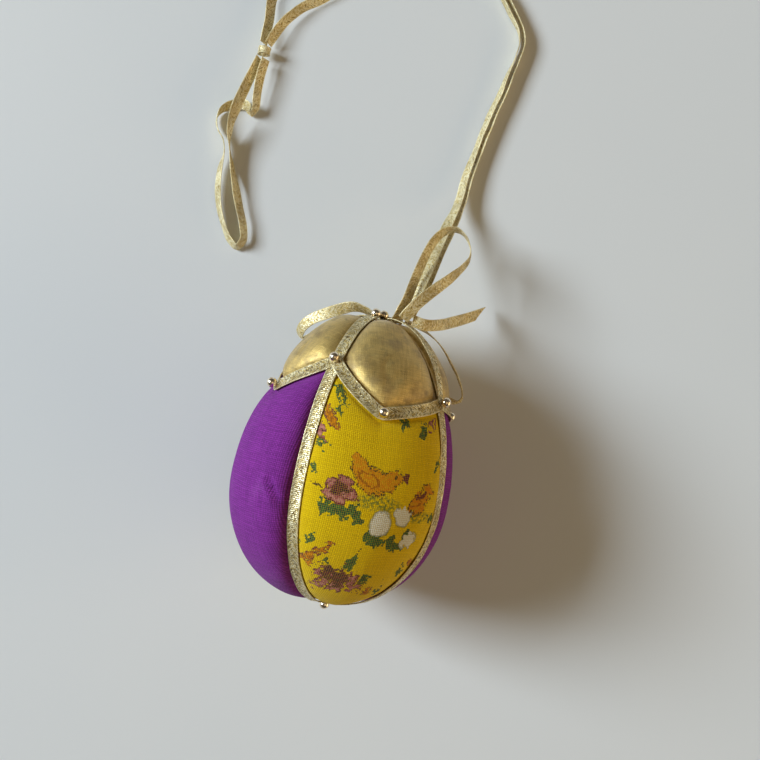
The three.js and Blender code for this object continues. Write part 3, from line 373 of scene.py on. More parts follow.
# Half of a ribbon's section: across its width, and how thick it is there. The woven
# edges are a little thicker than the middle.
RIBBON_SECTION = [(-1.0, 0.45), (-0.96, 0.95), (-0.86, 1.1), (-0.72, 0.85), (-0.36, 0.8), (0.0, 0.8)]
RIBBON_SECTION = RIBBON_SECTION + [(-w, t) for w, t in RIBBON_SECTION[-2::-1]]


def unit(v):
    return v / np.linalg.norm(v, axis=-1, keepdims=True)


def tangents(points):
    return unit(np.gradient(points, axis=0))


SLANT_REACH = 6.0  # of a slanting cut, back along its ribbon


def ribbon_solid(at, across, up, thickness, cup=0.0, slant=0.0):
    """A ribbon along a line of points. cup bends its section, and slant cuts its far end askew."""
    lengths = running_length(at)
    forward = tangents(at)
    half = RIBBON_WIDTH / 2
    rings, cloth = [], []
    for i, length in enumerate(lengths):
        skew = slant * max(0.0, 1 - (lengths[-1] - length) / SLANT_REACH)
        ring, marks = [], []
        for sign, section in ((1, RIBBON_SECTION), (-1, RIBBON_SECTION[::-1])):
            for w, t in section:
                lift = sign * t * thickness / 2 + cup * (w * w - 0.4)
                ring.append(at[i] + across[i] * w * half + up[i] * lift + forward[i] * w * skew)
                marks.append((length + w * skew, w * half))
        rings.append(np.array(ring))
        cloth.extend(marks)
    vertices, faces = rings_to_tube(rings)
    return vertices, faces, np.array(cloth)


def catmull_rom(rows, step):
    """Points and width directions along a route, about step apart."""
    rows = np.array(rows, float)
    places, widths = rows[:, :3], rows[:, 3:]
    padded = np.concatenate([[2 * places[0] - places[1]], places, [2 * places[-1] - places[-2]]])
    at, across = [], []
    for i in range(len(places) - 1):
        p0, p1, p2, p3 = padded[i : i + 4]
        t01, t12, t23 = (math.sqrt(np.linalg.norm(b - a)) for a, b in ((p0, p1), (p1, p2), (p2, p3)))
        m1 = ((p1 - p0) / t01 - (p2 - p0) / (t01 + t12) + (p2 - p1) / t12) * t12
        m2 = ((p2 - p1) / t12 - (p3 - p1) / (t12 + t23) + (p3 - p2) / t23) * t12
        count = max(2, round(np.linalg.norm(p2 - p1) / step))
        for k in range(count):
            t = k / count
            a, b = 2 * t**3 - 3 * t**2 + 1, t**3 - 2 * t**2 + t
            at.append(a * p1 + b * m1 + (1 - a) * p2 + (t**3 - t**2) * m2)
            across.append(widths[i] + (widths[i + 1] - widths[i]) * (3 * t**2 - 2 * t**3))
    return np.array(at + [places[-1]]), np.array(across + [widths[-1]])


SWAY_WAVELENGTH, RIPPLE_WAVELENGTH = 9.0, 3.1
TWIST_WAVELENGTH, TWIST = 14.0, 0.35
FIRM_END = 8.0  # length over which a free ribbon's waves fade out towards its ends
TABLE_CLEARANCE = 0.15


def free_ribbon_frames(node, wave, seed):
    """The line of a free ribbon with its directions, slightly wavy as soft ribbon lies."""
    at, across = catmull_rom(ROUTES[node], RIBBON_STEP)
    at[:, 0] += AXIS_X
    forward = tangents(at)
    across = unit(across - forward * np.sum(across * forward, 1, keepdims=True))
    up = np.cross(forward, across)
    lengths = running_length(at)
    ends = np.clip(np.minimum(lengths, lengths[-1] - lengths) / FIRM_END, 0, 1)
    marks = np.stack([lengths, 0 * lengths, 0 * lengths], 1)
    sway = ripple(marks, SWAY_WAVELENGTH, seed) + 0.3 * ripple(marks, RIPPLE_WAVELENGTH, seed + 2)
    twist = ripple(marks, TWIST_WAVELENGTH, seed + 5) * TWIST * ends
    at = at + up * (wave * sway * ends)[:, None]
    turned = across * np.cos(twist)[:, None] + up * np.sin(twist)[:, None]
    lowest = TABLE_CLEARANCE + np.abs(turned[:, 2]) * RIBBON_WIDTH / 2
    at[:, 2] = np.maximum(at[:, 2], lowest)
    return at, turned, unit(np.cross(forward, turned))


# ---------- the free ribbons ----------


def make_free_ribbon(node, material, wave, seed, cup=0.08, slant=0.0):
    at, across, up = free_ribbon_frames(node, wave, seed)
    vertices, faces, cloth = ribbon_solid(at, across, up, FREE_RIBBON_THICKNESS, cup, slant)
    cloth[:, 0] += seed * 37.0
    piece = make_piece(f"{node}_braid", vertices, faces, cloth, material, [node])
    return piece, at * MM


KNOT_CORE = 0.78  # of a knot's radius, under its turns
KNOT_RINGS, KNOT_SIDES = 15, 24
KNOT_TURNS = ((0.0, 0.5), (2.2, -0.55))  # start angle and drift along the knot of each winding
KNOT_SQUEEZE = 0.62  # of a ribbon's width where it is wound tight


def knot_core(centre, axes, place, seed):
    """The lumpy barrel of cloth under a knot's turns."""
    axis, side, other = axes
    angles = np.linspace(0, FULL_TURN, KNOT_SIDES, endpoint=False)
    rings = []
    for t in np.linspace(-1, 1, KNOT_RINGS):
        radius = place["radius"] * KNOT_CORE * math.sqrt(max(0.02, 1 - abs(t) ** 3))
        lumps = radius * (1 + 0.08 * np.sin(3 * angles + 4 * t + seed))
        ring = np.outer(lumps * np.cos(angles), side) + np.outer(lumps * np.sin(angles), other)
        rings.append(centre + axis * t * place["half_length"] + ring)
    return rings_to_tube(rings)


def knot_winding(centre, axes, place, turns, layer):
    """A ribbon wound round a knot's core. The second layer lies on the first."""
    axis, side, other = axes
    start, drift = KNOT_TURNS[layer]
    angles = np.linspace(start, start + FULL_TURN * turns, round(30 * turns))
    shift = drift * (place["half_length"] - RIBBON_WIDTH * 0.32) * np.linspace(-1, 1, len(angles))
    swell = place["radius"] * 0.86 + 0.17 * (layer + np.linspace(0, turns, len(angles)))
    up = np.outer(np.cos(angles), side) + np.outer(np.sin(angles), other)
    at = centre + np.outer(shift, axis) + swell[:, None] * up
    forward = tangents(at)
    across = unit(np.cross(up, forward))
    lifted = unit(np.cross(forward, across))
    return ribbon_solid(at, across * KNOT_SQUEEZE, lifted, FREE_RIBBON_THICKNESS, 0.12)


def wound_knot(node, place, material, turns, seed):
    """A knot: ribbon wound round a firm core, its turns overlapping."""
    axis = Vector(place["axis"])
    side = np.array(axis.orthogonal().normalized())
    axes = np.array(axis), side, np.cross(np.array(axis), side)
    centre = np.array(place["at"]) + (AXIS_X, 0, 0)
    vertices, faces = knot_core(centre, axes, place, seed)
    cloth = [(j * 0.4, i * 0.4) for i in range(KNOT_RINGS) for j in range(KNOT_SIDES)]
    for layer in range(len(KNOT_TURNS)):
        wound, more, marks = knot_winding(centre, axes, place, turns, layer)
        offset = len(vertices)
        vertices = np.concatenate([vertices, wound])
        faces = faces + [tuple(int(v) + offset for v in face) for face in more]
        cloth = cloth + [tuple(mark + (11.0 * layer, 0)) for mark in marks]
    return make_piece(f"{node}_wound", vertices, faces, cloth, material, [node])


# ---------- materials ----------


class Graph:
    """A node material with short ways to add to it. A value is a number, a colour or a socket."""

    def __init__(self, name):
        self.material = bpy.data.materials.new(name)
        self.material.use_nodes = True
        self.tree = self.material.node_tree
        self.tree.nodes.clear()
        self.shader = self.node("ShaderNodeBsdfPrincipled")
        output = self.node("ShaderNodeOutputMaterial")
        self.tree.links.new(self.shader.outputs[0], output.inputs["Surface"])

    def node(self, kind, **settings):
        node = self.tree.nodes.new(kind)
        for key, value in settings.items():
            setattr(node, key, value)
        return node

    def put(self, socket, value):
        if isinstance(value, bpy.types.NodeSocket):
            self.tree.links.new(value, socket)
        elif socket.type == "RGBA" and len(value) == 3:
            socket.default_value = (*value, 1)
        else:
            socket.default_value = value

    def set(self, **values):
        """Sets the shader's inputs: base_color becomes Base Color."""
        for key, value in values.items():
            self.put(self.shader.inputs[key.replace("_", " ").title().replace("Ior", "IOR")], value)

    def cloth(self):
        """The place on the cloth, in millimetres."""
        return self.node("ShaderNodeUVMap", uv_map="cloth").outputs[0]

    def place(self):
        """The place in the model's frame, in millimetres."""
        return self.vector("SCALE", self.node("ShaderNodeTexCoord").outputs["Object"], scale=1 / MM)

    def math(self, operation, *values):
        node = self.node("ShaderNodeMath", operation=operation)
        for socket, value in zip(node.inputs, values, strict=False):
            self.put(socket, value)
        return node.outputs[0]

    def times(self, a, b):
        return self.math("MULTIPLY", a, b)

    def vector(self, operation, *values, scale=None):
        node = self.node("ShaderNodeVectorMath", operation=operation)
        for socket, value in zip(node.inputs, values, strict=False):
            self.put(socket, value)
        if scale is not None:
            self.put(node.inputs["Scale"], scale)
        return node.outputs["Value" if operation in ("LENGTH", "DOT_PRODUCT") else "Vector"]

    def split(self, vector):
        node = self.node("ShaderNodeSeparateXYZ")
        self.put(node.inputs[0], vector)
        return node.outputs

    def mix(self, factor, a, b, blend="MIX"):
        node = self.node("ShaderNodeMix", data_type="RGBA", blend_type=blend)
        self.put(node.inputs["Factor"], factor)
        self.put(node.inputs[6], a)
        self.put(node.inputs[7], b)
        return node.outputs[2]

    def choose(self, factor, a, b):
        node = self.node("ShaderNodeMix", data_type="FLOAT")
        self.put(node.inputs["Factor"], factor)
        self.put(node.inputs[2], a)
        self.put(node.inputs[3], b)
        return node.outputs[0]

    def noise(self, vector, wavelength, detail=2.0, roughness=0.5, output="Fac"):
        node = self.node("ShaderNodeTexNoise")
        self.put(node.inputs["Vector"], vector)
        self.put(node.inputs["Scale"], 1 / wavelength)
        self.put(node.inputs["Detail"], detail)
        self.put(node.inputs["Roughness"], roughness)
        return node.outputs[output]

    def cells(self, vector, size, output="Color"):
        node = self.node("ShaderNodeTexVoronoi")
        self.put(node.inputs["Vector"], vector)
        self.put(node.inputs["Scale"], 1 / size)
        return node.outputs[output]

    def stretch(self, vector, scale):
        return self.vector("MULTIPLY", vector, (*scale, 1))

    def ramp(self, value, low, high, to_low=0.0, to_high=1.0):
        """value from low to high becomes to_low to to_high, smoothly and no further."""
        node = self.node("ShaderNodeMapRange", interpolation_type="SMOOTHSTEP")
        for socket, number in zip(node.inputs, (value, low, high, to_low, to_high), strict=False):
            self.put(socket, number)
        return node.outputs[0]

    def bump(self, height, depth, under=None):
        """A normal from a height of 0 to 1 that stands for depth millimetres."""
        node = self.node("ShaderNodeBump")
        self.put(node.inputs["Distance"], depth * MM)
        self.put(node.inputs["Height"], height)
        if under is not None:
            self.put(node.inputs["Normal"], under)
        return node.outputs[0]


def bent_cloth(g, cloth, wavelength, amount):
    """The cloth's place, pushed about by smooth noise of up to about half of amount."""
    push = g.vector("SUBTRACT", g.noise(cloth, wavelength, 1.0, output="Color"), (0.5, 0.5, 0.5))
    return g.vector("ADD", cloth, g.vector("SCALE", push, scale=amount))


def plain_weave(g, cloth, thread):
    """Height of a plain weave of threads of that pitch, and 1 where the warp is on top."""
    u, v, _ = g.split(g.vector("SCALE", cloth, scale=math.pi / thread))
    sine_u, sine_v = g.math("SINE", u), g.math("SINE", v)
    warp, weft = g.math("ABSOLUTE", sine_u), g.math("ABSOLUTE", sine_v)
    on_top = g.math("GREATER_THAN", g.times(sine_u, sine_v), 0.0)
    warp_height = g.times(warp, g.math("MULTIPLY_ADD", weft, 0.5, 0.5))
    weft_height = g.times(weft, g.math("MULTIPLY_ADD", warp, 0.5, 0.5))
    return g.choose(on_top, weft_height, warp_height), on_top


def slubs(g, cloth, on_top, thread):
    """Uneven threads: streaks along the warp where it is on top, and along the weft elsewhere."""
    warp = g.noise(g.stretch(cloth, (1 / thread, 0.16)), 1.0, 1.0)
    weft = g.noise(g.stretch(cloth, (0.16, 1 / thread)), 1.0, 1.0)
    return g.choose(on_top, weft, warp)


COTTON_THREAD = 0.46


def cotton(name, colour, dark_thread_and_gap_shade, worn, printed=None):
    g = Graph(name)
    cloth = g.cloth()
    threads = bent_cloth(g, cloth, 7.0, 0.5)
    height, on_top = plain_weave(g, threads, COTTON_THREAD)
    streaks = slubs(g, threads, on_top, COTTON_THREAD)
    base = g.mix(g.ramp(streaks, 0.3, 0.7, 0.0, 0.42), colour, dark_thread_and_gap_shade)
    base = g.mix(g.ramp(g.noise(cloth, 9.0, 3.0), 0.55, 0.8, 0.0, 0.25), base, worn)
    if printed is not None:
        base = printed(g, cloth, base)
    # painted shade: the low places of the weave, between the threads, are darkened towards the dark
    # colour
    base = g.mix(g.ramp(height, 0.0, 0.6, 0.75, 0.0), base, dark_thread_and_gap_shade)
    lint = g.math("GREATER_THAN", g.noise(g.stretch(cloth, (2.2, 3.1)), 1.0, 3.0, 0.7), 0.735)
    base = g.mix(g.times(lint, 0.35), base, worn)
    fuzz = g.noise(cloth, 0.16, 2.0)
    relief = g.math("MULTIPLY_ADD", fuzz, 0.35, height)
    g.set(base_color=base, roughness=g.ramp(fuzz, 0.2, 0.8, 0.82, 0.96), normal=g.bump(relief, 0.1))
    g.set(sheen_weight=0.06, sheen_roughness=0.5, specular_ior_level=0.12)
    return g.material


def seen_from(g, lifted, row):
    """The cloth's place as a motif sees it: 1 away from its middle at its outline.

    A row is x and y of the middle, half-width, half-height and angle in degrees. The
    place comes lifted, with 1 as its third number, so that one dot product shifts,
    turns and scales it.
    """
    x, y, width, height, angle = row
    cosine, sine = math.cos(math.radians(angle)), math.sin(math.radians(angle))
    along = (cosine / width, sine / width, -(x * cosine + y * sine) / width)
    over = (-sine / height, cosine / height, (x * sine - y * cosine) / height)
    return g.vector("DOT_PRODUCT", lifted, along), g.vector("DOT_PRODUCT", lifted, over)


def nearest(g, lifted, rows, measure):
    found = None
    for row in rows:
        distance = measure(g, *seen_from(g, lifted, row))
        found = distance if found is None else g.math("MINIMUM", found, distance)
    return found


def ovals(g, lifted, rows):
    """Distance to the nearest of several ovals, 1 at their outlines."""

    def square(g, x, y):
        return g.math("MULTIPLY_ADD", x, x, g.times(y, y))

    return g.math("SQRT", nearest(g, lifted, rows, square))


def leaves(g, lifted, rows):
    """Distance to the nearest of several leaves with pointed ends, 1 at their outlines."""

    def pointed(g, x, y):
        return g.math("MULTIPLY_ADD", x, x, g.math("ABSOLUTE", y))

    return nearest(g, lifted, rows, pointed)


# The print, in millimetres on the cloth: x and y of the middle, half-width,
# half-height, and angle in degrees.
CHICK_BODIES = [
    (-3.6, 5.2, 3.9, 3.0, -30),
    (-6.4, 7.4, 3.3, 2.0, -62),
    (-7.9, 9.9, 1.5, 1.1, -70),
    (-1.2, 5.0, 3.4, 2.3, 10),
    (1.5, 6.6, 2.1, 1.9, 0),
    (8.9, 1.4, 2.9, 2.0, 60),
    (10.7, 4.4, 2.0, 1.9, 20),
]
CHICK_WINGS = [(-4.4, 5.6, 2.6, 1.4, -30), (8.2, 1.8, 1.4, 1.0, 20)]
CHICK_EYES = [(2.0, 7.4, 0.34, 0.34, 0), (11.6, 6.0, 0.32, 0.32, 0)]
BEAKS = [(4.3, 7.4, 1.0, 0.8, 18), (4.5, 6.5, 0.95, 0.75, -30), (9.7, 3.6, 0.9, 0.8, 30)]
EGGS = [(0.0, -4.3, 2.5, 3.1, -14), (8.3, -7.6, 2.6, 1.9, 50)]
SHELLS = [(5.4, -1.8, 2.3, 2.5, -8), (5.0, 0.0, 1.0, 1.6, 20)]
ROSE_PETALS = [
    (-12.3, 3.0, 1.6, 1.4, 30), (-9.4, 3.8, 1.7, 1.4, -30), (-8.2, 1.4, 1.4, 1.6, 20),
    (-10.4, 0.0, 1.8, 1.3, 0), (-12.6, 0.8, 1.4, 1.5, 10),
    (-9.0, -23.2, 1.9, 1.5, 40), (-5.2, -23.4, 1.7, 1.9, 0), (-1.0, -22.0, 1.9, 1.6, -30),
    (-2.6, -19.0, 1.5, 1.4, 20), (-10.2, -19.8, 1.5, 1.6, 0),
    (-17.6, 15.6, 1.4, 1.2, 0), (-16.8, 14.2, 1.2, 1.1, 40), (12.0, 21.1, 1.5, 1.2, 20),
]
ROSE_HEARTS = [
    (-10.5, 2.1, 2.1, 1.7, 0), (-6.4, -19.3, 3.6, 2.3, -15), (-5.2, -21.6, 1.4, 1.5, 0),
    (-17.2, 15.0, 0.7, 0.6, 0), (12.1, 21.0, 0.7, 0.6, 0),
]
SMALL_FLOWERS = [
    (-15.5, 19.1, 1.4, 1.2, 20), (-14.7, 17.8, 1.2, 1.1, 0), (-11.2, -12.7, 1.4, 1.2, 0),
    (-13.6, -15.2, 1.4, 1.2, 30), (-14.8, -16.6, 1.3, 1.2, 0), (-12.8, -17.2, 1.1, 1.0, 0),
    (13.6, -14.2, 1.3, 1.1, 0), (2.8, -23.6, 1.2, 1.0, 30),
]
LEAVES = [
    (-13.2, -2.2, 2.4, 0.95, -55), (-11.4, -2.7, 2.2, 0.9, 60), (-9.6, -3.1, 2.4, 0.95, -50),
    (-7.7, -2.2, 2.2, 0.95, 48), (-6.2, -3.2, 2.1, 0.9, -48), (-4.8, -4.4, 1.6, 0.8, 20),
    (-2.2, -7.2, 2.2, 0.9, 64), (-0.8, -8.3, 2.2, 0.9, 40), (0.8, -8.8, 1.8, 0.8, 12),
    (3.6, -8.2, 2.0, 0.9, 70), (5.2, -9.2, 2.2, 0.9, 40), (6.8, -9.8, 1.6, 0.75, 5),
    (0.0, -4.4, 1.6, 0.7, 70), (1.5, -5.6, 1.4, 0.6, 60), (7.0, -5.9, 1.7, 0.7, 60),
    (-15.3, -11.0, 1.9, 1.1, 60), (-16.9, 12.0, 1.8, 1.1, 20), (-18.0, 5.9, 1.6, 1.0, 70),
    (8.5, 18.5, 1.7, 1.0, 35), (8.7, 20.0, 1.6, 0.9, 110), (-13.5, 25.2, 2.0, 1.2, 75),
    (-13.2, 21.6, 1.8, 1.1, 30), (3.2, 20.4, 1.9, 1.1, -25), (-4.3, -15.1, 2.2, 1.3, 65),
    (0.8, -18.9, 2.0, 1.2, 40), (-9.5, -15.9, 1.5, 0.8, 10),
    (14.2, 11.5, 1.7, 1.0, 60), (15.0, -2.0, 1.6, 0.9, 100), (10.6, -17.2, 1.8, 1.0, 20),
    (6.0, -24.2, 1.7, 1.0, 50),
]
GRASS = [(-1.6, 0.4, 5.6, 1.9, 0), (10.6, -1.9, 3.0, 1.3, 10)]
SPECKS = [(-15.6, 2.1, 0.45, 0.45, 0), (-14.3, 1.0, 0.3, 0.3, 0), (-3.4, -12.3, 0.35, 0.35, 0)]

PRINT_SHIFT = 0.9  # of the whole print towards the right seam

GREEN, DEEP_GREEN = (0.03, 0.13, 0.035), (0.006, 0.06, 0.03)
ORANGE, PALE_ORANGE, DEEP_ORANGE = (0.66, 0.21, 0.006), (0.66, 0.29, 0.008), (0.34, 0.085, 0.008)
ROSE, PALE_ROSE, PLUM = (0.32, 0.06, 0.09), (0.52, 0.20, 0.18), (0.04, 0.006, 0.03)
MAROON, INK = (0.12, 0.014, 0.035), (0.045, 0.024, 0.016)
EGG_WHITE, YOLK = (0.74, 0.71, 0.58), (0.66, 0.46, 0.10)


def inside(g, distance, soft=0.16):
    return g.ramp(distance, 1 - soft / 2, 1 + soft / 2, 1.0, 0.0)


def outline(g, distance, width):
    """1 on a band about a motif's outline."""
    off = g.math("ABSOLUTE", g.math("SUBTRACT", distance, 1.0))
    return g.ramp(off, width * 0.6, width, 1.0, 0.0)


def barnyard_print(g, cloth, base):
    """A printed cotton of chicks, eggs, flowers and leaves, a little off register."""
    drawn = bent_cloth(g, bent_cloth(g, cloth, 2.2, 0.45), 0.7, 0.22)
    drawn = g.vector("ADD", drawn, (-PRINT_SHIFT, 0, 1))
    dots = g.cells(cloth, 0.42, "Distance")
    stipple = g.ramp(dots, 0.12, 0.3, 1.0, 0.0)
    patchy = g.ramp(g.noise(cloth, 0.8, 2.0), 0.4, 0.6)
    broken = g.ramp(g.noise(cloth, 0.5, 1.0), 0.3, 0.42)

    def uneven(dark, pale):
        return g.mix(patchy, dark, pale)

    def edge(distance, width):
        return g.times(outline(g, distance, width), broken)

    small, petals = ovals(g, drawn, SMALL_FLOWERS), ovals(g, drawn, ROSE_PETALS)
    shell, eggs = ovals(g, drawn, SHELLS), ovals(g, drawn, EGGS)
    chick, wing = ovals(g, drawn, CHICK_BODIES), ovals(g, drawn, CHICK_WINGS)
    teeth = g.times(g.math("PINGPONG", g.split(drawn)[0], 0.75), 1.9)
    jagged = g.math("LESS_THAN", g.math("SUBTRACT", g.split(drawn)[1], teeth), -0.6)
    rim = g.math("MAXIMUM", outline(g, eggs, 0.16), g.times(outline(g, shell, 0.16), jagged))
    down = g.mix(edge(wing, 0.2), uneven(ORANGE, PALE_ORANGE), DEEP_ORANGE)
    down = g.mix(g.times(stipple, g.ramp(chick, 0.75, 1.0)), down, INK)
    tufts = g.math("MAXIMUM", stipple, g.times(patchy, 0.8))

    # what each layer of the print covers, and its colour, from the first to the last
    layers = [
        (g.times(inside(g, ovals(g, drawn, GRASS), 0.6), tufts), GREEN),
        (inside(g, leaves(g, drawn, LEAVES), 0.2), uneven(DEEP_GREEN, GREEN)),
        (inside(g, small, 0.2), uneven(DEEP_ORANGE, ORANGE)),
        (edge(small, 0.22), MAROON),
        (inside(g, petals, 0.15), uneven(ROSE, PALE_ROSE)),
        (edge(petals, 0.2), MAROON),
        (inside(g, ovals(g, drawn, ROSE_HEARTS), 0.3), uneven(PLUM, MAROON)),
        (g.times(inside(g, shell, 0.12), jagged), EGG_WHITE),
        (inside(g, eggs, 0.12), g.mix(g.times(stipple, patchy), EGG_WHITE, YOLK)),
        (g.times(rim, g.times(broken, 0.45)), DEEP_GREEN),
        (inside(g, chick, 0.1), down),
        (g.times(edge(chick, 0.2), g.ramp(dots, 0.45, 0.6, 1.0, 0.0)), INK),
        (inside(g, ovals(g, drawn, CHICK_EYES), 0.3), INK),
        (inside(g, ovals(g, drawn, BEAKS), 0.2), MAROON),
        (inside(g, ovals(g, drawn, SPECKS), 0.4), INK),
    ]
    for cover, colour in layers:
        base = g.mix(cover, base, colour)
    return base


def barnyard_offcut(g, cloth, base):
    """The same print on another piece that was cut upside down from the cloth."""
    turned = g.vector("SUBTRACT", (3.0, 4.0, 0.0), cloth)
    return barnyard_print(g, turned, base)


# pale gold of the painted glints and of the corded edges, the braid's gold, and dark gold of dull
# threads and of the painted shade between ribs
GLINT_AND_EDGE_GOLD, GOLD, DULL_GOLD_AND_GROOVE_SHADE = (0.98, 0.88, 0.56), (0.66, 0.48, 0.15), (0.13, 0.08, 0.02)

FOIL_LENGTH, FOIL_WIDTH = 0.22, 0.4  # of the spots of foil thread that show
SELVAGE_FROM = 1.26  # from the ribbon's middle to its corded edge
SELVAGE_TWIST = 0.42


def metallic_braid(name, rib, glitter, metal, dark, glint_share):
    """Woven metallic ribbon of flat foil threads that catch the light one by one.

    rib is the pitch of its ribs, glitter how far the foil stands out of them, dark the
    share of dull threads, and the last number the share of shining ones, whose glints are painted
    highlights in the colour.
    """
    g = Graph(name)
    cloth = g.cloth()
    bent = bent_cloth(g, cloth, 2.5, 0.25)
    along, across, _ = g.split(bent)
    ribs = g.math("ABSOLUTE", g.math("SINE", g.times(along, math.pi / rib)))
    edge = g.math("ABSOLUTE", across)
    selvage = g.ramp(edge, SELVAGE_FROM, SELVAGE_FROM + 0.1)
    chevron = g.math("ADD", along, edge)
    cord = g.math("ABSOLUTE", g.math("SINE", g.times(chevron, math.pi / SELVAGE_TWIST)))
    height = g.choose(selvage, ribs, g.math("MULTIPLY_ADD", cord, 0.6, 0.5))
    chevrons = g.node("ShaderNodeCombineXYZ")
    g.put(chevrons.inputs[0], chevron)
    g.put(chevrons.inputs[1], across)
    foil = g.cells(g.stretch(chevrons.outputs[0], (1 / FOIL_LENGTH, 1 / FOIL_WIDTH)), 1.0)
    red, green, _ = g.split(foil)
    tone = g.mix(g.ramp(red, dark - 0.3, dark + 0.15), DULL_GOLD_AND_GROOVE_SHADE, GOLD)
    # painted glints: some foil spots are lightened towards the pale glint colour
    tone = g.mix(g.ramp(green, 0.85 - glint_share, 1.15 - glint_share), tone, GLINT_AND_EDGE_GOLD)
    # painted shade: the low places between the ribs and the cords are darkened
    tone = g.mix(g.ramp(height, 0.0, 0.4, 0.5, 0.0), tone, DULL_GOLD_AND_GROOVE_SHADE)
    tone = g.mix(g.times(selvage, 0.4), tone, GLINT_AND_EDGE_GOLD)
    age = g.ramp(g.noise(cloth, 7.0, 3.0), 0.4, 0.7, 0.0, 0.5)
    tone = g.mix(age, tone, (0.30, 0.21, 0.08))
    relief = g.math("MULTIPLY_ADD", red, glitter, height)
    g.set(base_color=tone, metallic=metal, roughness=g.ramp(green, 0.0, 1.0, 0.55, 0.32))
    g.set(normal=g.bump(relief, 0.05), specular_ior_level=0.5)
    return g.material


def lame(name):
    """Gold metallic cloth: a fine satin weave, crushed into soft dents and tarnished in places."""
    g = Graph(name)
    cloth = g.cloth()
    threads = bent_cloth(g, cloth, 4.0, 0.6)
    height, on_top = plain_weave(g, threads, 0.24)
    streaks = slubs(g, threads, on_top, 0.24)
    tone = g.mix(g.ramp(streaks, 0.25, 0.75), (0.52, 0.34, 0.09), (0.77, 0.56, 0.19))
    place = g.place()
    clouds = g.noise(place, 7.5, 5.0, 0.62)
    smudges = g.noise(g.vector("ADD", place, (31.0, 7.0, 3.0)), 2.6, 5.0, 0.7)
    tone = g.mix(g.ramp(clouds, 0.46, 0.68, 0.0, 0.6), tone, (0.22, 0.15, 0.07))
    tone = g.mix(g.ramp(smudges, 0.5, 0.75, 0.0, 0.5), tone, (0.16, 0.105, 0.04))
    folds = g.noise(place, 2.2, 4.0, 0.5)
    dull = g.math("MULTIPLY_ADD", g.ramp(clouds, 0.45, 0.75), 0.22, 0.36)
    g.set(base_color=tone, metallic=0.72, roughness=g.math("MULTIPLY_ADD", streaks, 0.12, dull))
    g.set(normal=g.bump(height, 0.03, g.bump(folds, 0.16)), sheen_weight=0.1, anisotropic=0.25)
    g.set(coat_weight=0.35, coat_roughness=0.42)
    return g.material


def polished_brass(name):
    g = Graph(name)
    place = g.place()
    haze = g.noise(place, 0.7, 3.0)
    marks = g.noise(g.stretch(place, (6.0, 0.8)), 1.0, 2.0)
    tone = g.mix(g.ramp(haze, 0.4, 0.7), (1.0, 0.90, 0.72), (0.84, 0.66, 0.46))
    g.set(base_color=tone, metallic=1.0, roughness=g.ramp(haze, 0.3, 0.7, 0.13, 0.3))
    g.set(normal=g.bump(marks, 0.01))
    return g.material


def craft_foam(name):
    g = Graph(name)
    place = g.place()
    beads = g.cells(place, 1.3, "Distance")
    tone = g.mix(g.ramp(beads, 0.2, 0.7), (0.86, 0.85, 0.81), (0.70, 0.69, 0.65))
    pores = g.noise(place, 0.3, 3.0)
    g.set(base_color=tone, roughness=g.ramp(pores, 0.2, 0.8, 0.8, 0.95), subsurface_weight=0.05)
    g.set(normal=g.bump(g.math("MULTIPLY_ADD", beads, 0.8, pores), 0.12))
    return g.material


def polyester_padding(name):
    g = Graph(name)
    place = g.place()
    swirl = bent_cloth(g, place, 5.0, 6.0)
    fibres = g.noise(g.stretch(swirl, (0.5, 5.0)), 1.0, 4.0, 0.7)
    crossed = g.noise(g.stretch(swirl, (5.0, 0.6)), 1.0, 4.0, 0.7)
    mesh = g.math("MAXIMUM", fibres, crossed)
    tone = g.mix(g.ramp(mesh, 0.35, 0.75), (0.72, 0.71, 0.68), (0.90, 0.90, 0.88))
    g.set(base_color=tone, roughness=g.ramp(mesh, 0.3, 0.8, 0.98, 0.85), normal=g.bump(mesh, 0.5))
    g.set(sheen_weight=0.3)
    return g.material


def painted_table(name):
    g = Graph(name)
    place = g.place()
    cloudy = g.noise(place, 160.0, 3.0)
    fine = g.noise(place, 1.6, 3.0)
    tone = g.mix(g.ramp(cloudy, 0.3, 0.7), (0.72, 0.735, 0.74), (0.75, 0.755, 0.75))
    g.set(base_color=tone, roughness=g.ramp(fine, 0.3, 0.7, 0.5, 0.58), normal=g.bump(fine, 0.02))
    return g.material

# ---------- padded cloth sections ----------


def rise(distance, shoulder, power):
    x = np.clip(distance / shoulder, 0, 1)
    return np.sqrt(1 - (1 - x) ** power)


def crowded(count, start):
    """count numbers from start to 1 that lie closer together towards both ends."""
    t = np.linspace(-1, 1, count)
    t = 0.62 * np.sin(t * math.pi / 2) + 0.38 * t
    return start + (1 - start) * (t + 1) / 2


def section_grid(side, kind, rows, columns):
    """phi, u and theta at each point of a section, and its distances from its edges."""
    v = crowded(rows, 0.0)[:, None]
    c = crowded(columns, -1.0)[None, :]
    blunt, sharp = phi_of_radius(POLE_OPENING["blunt"]), math.pi - phi_of_radius(POLE_OPENING["sharp"])

    def phi_for(u):
        if kind == "cap":
            start = phi_at(hem_y(side, u) + SEAM_HALF_GAP)
            return start + (sharp - start) * v
        return blunt + (phi_at(hem_y(side, u) - SEAM_HALF_GAP) - blunt) * v

    middle = egg_section(phi_for(np.zeros((1, 1))))[1]
    half_width = middle * half_span(side)
    u = c * (1 - np.minimum(SEAM_HALF_GAP / half_width, 0.3))
    u = u + SIDES[side][4] * (1 - np.abs(u))
    phi = phi_for(u)
    y, r, _, _ = egg_section(phi)
    opening = POLE_OPENING["sharp" if kind == "cap" else "blunt"]
    spans = {
        "seam": (1 - np.abs(u)) * r * half_span(side),
        "hem": np.abs(hem_y(side, u) - y) * HEM_SLANT,
        "pole": np.broadcast_to(r - opening - 0.4, u.shape),
        "across": u * r * half_span(side),
    }
    return phi, u, theta_at(side, u), spans


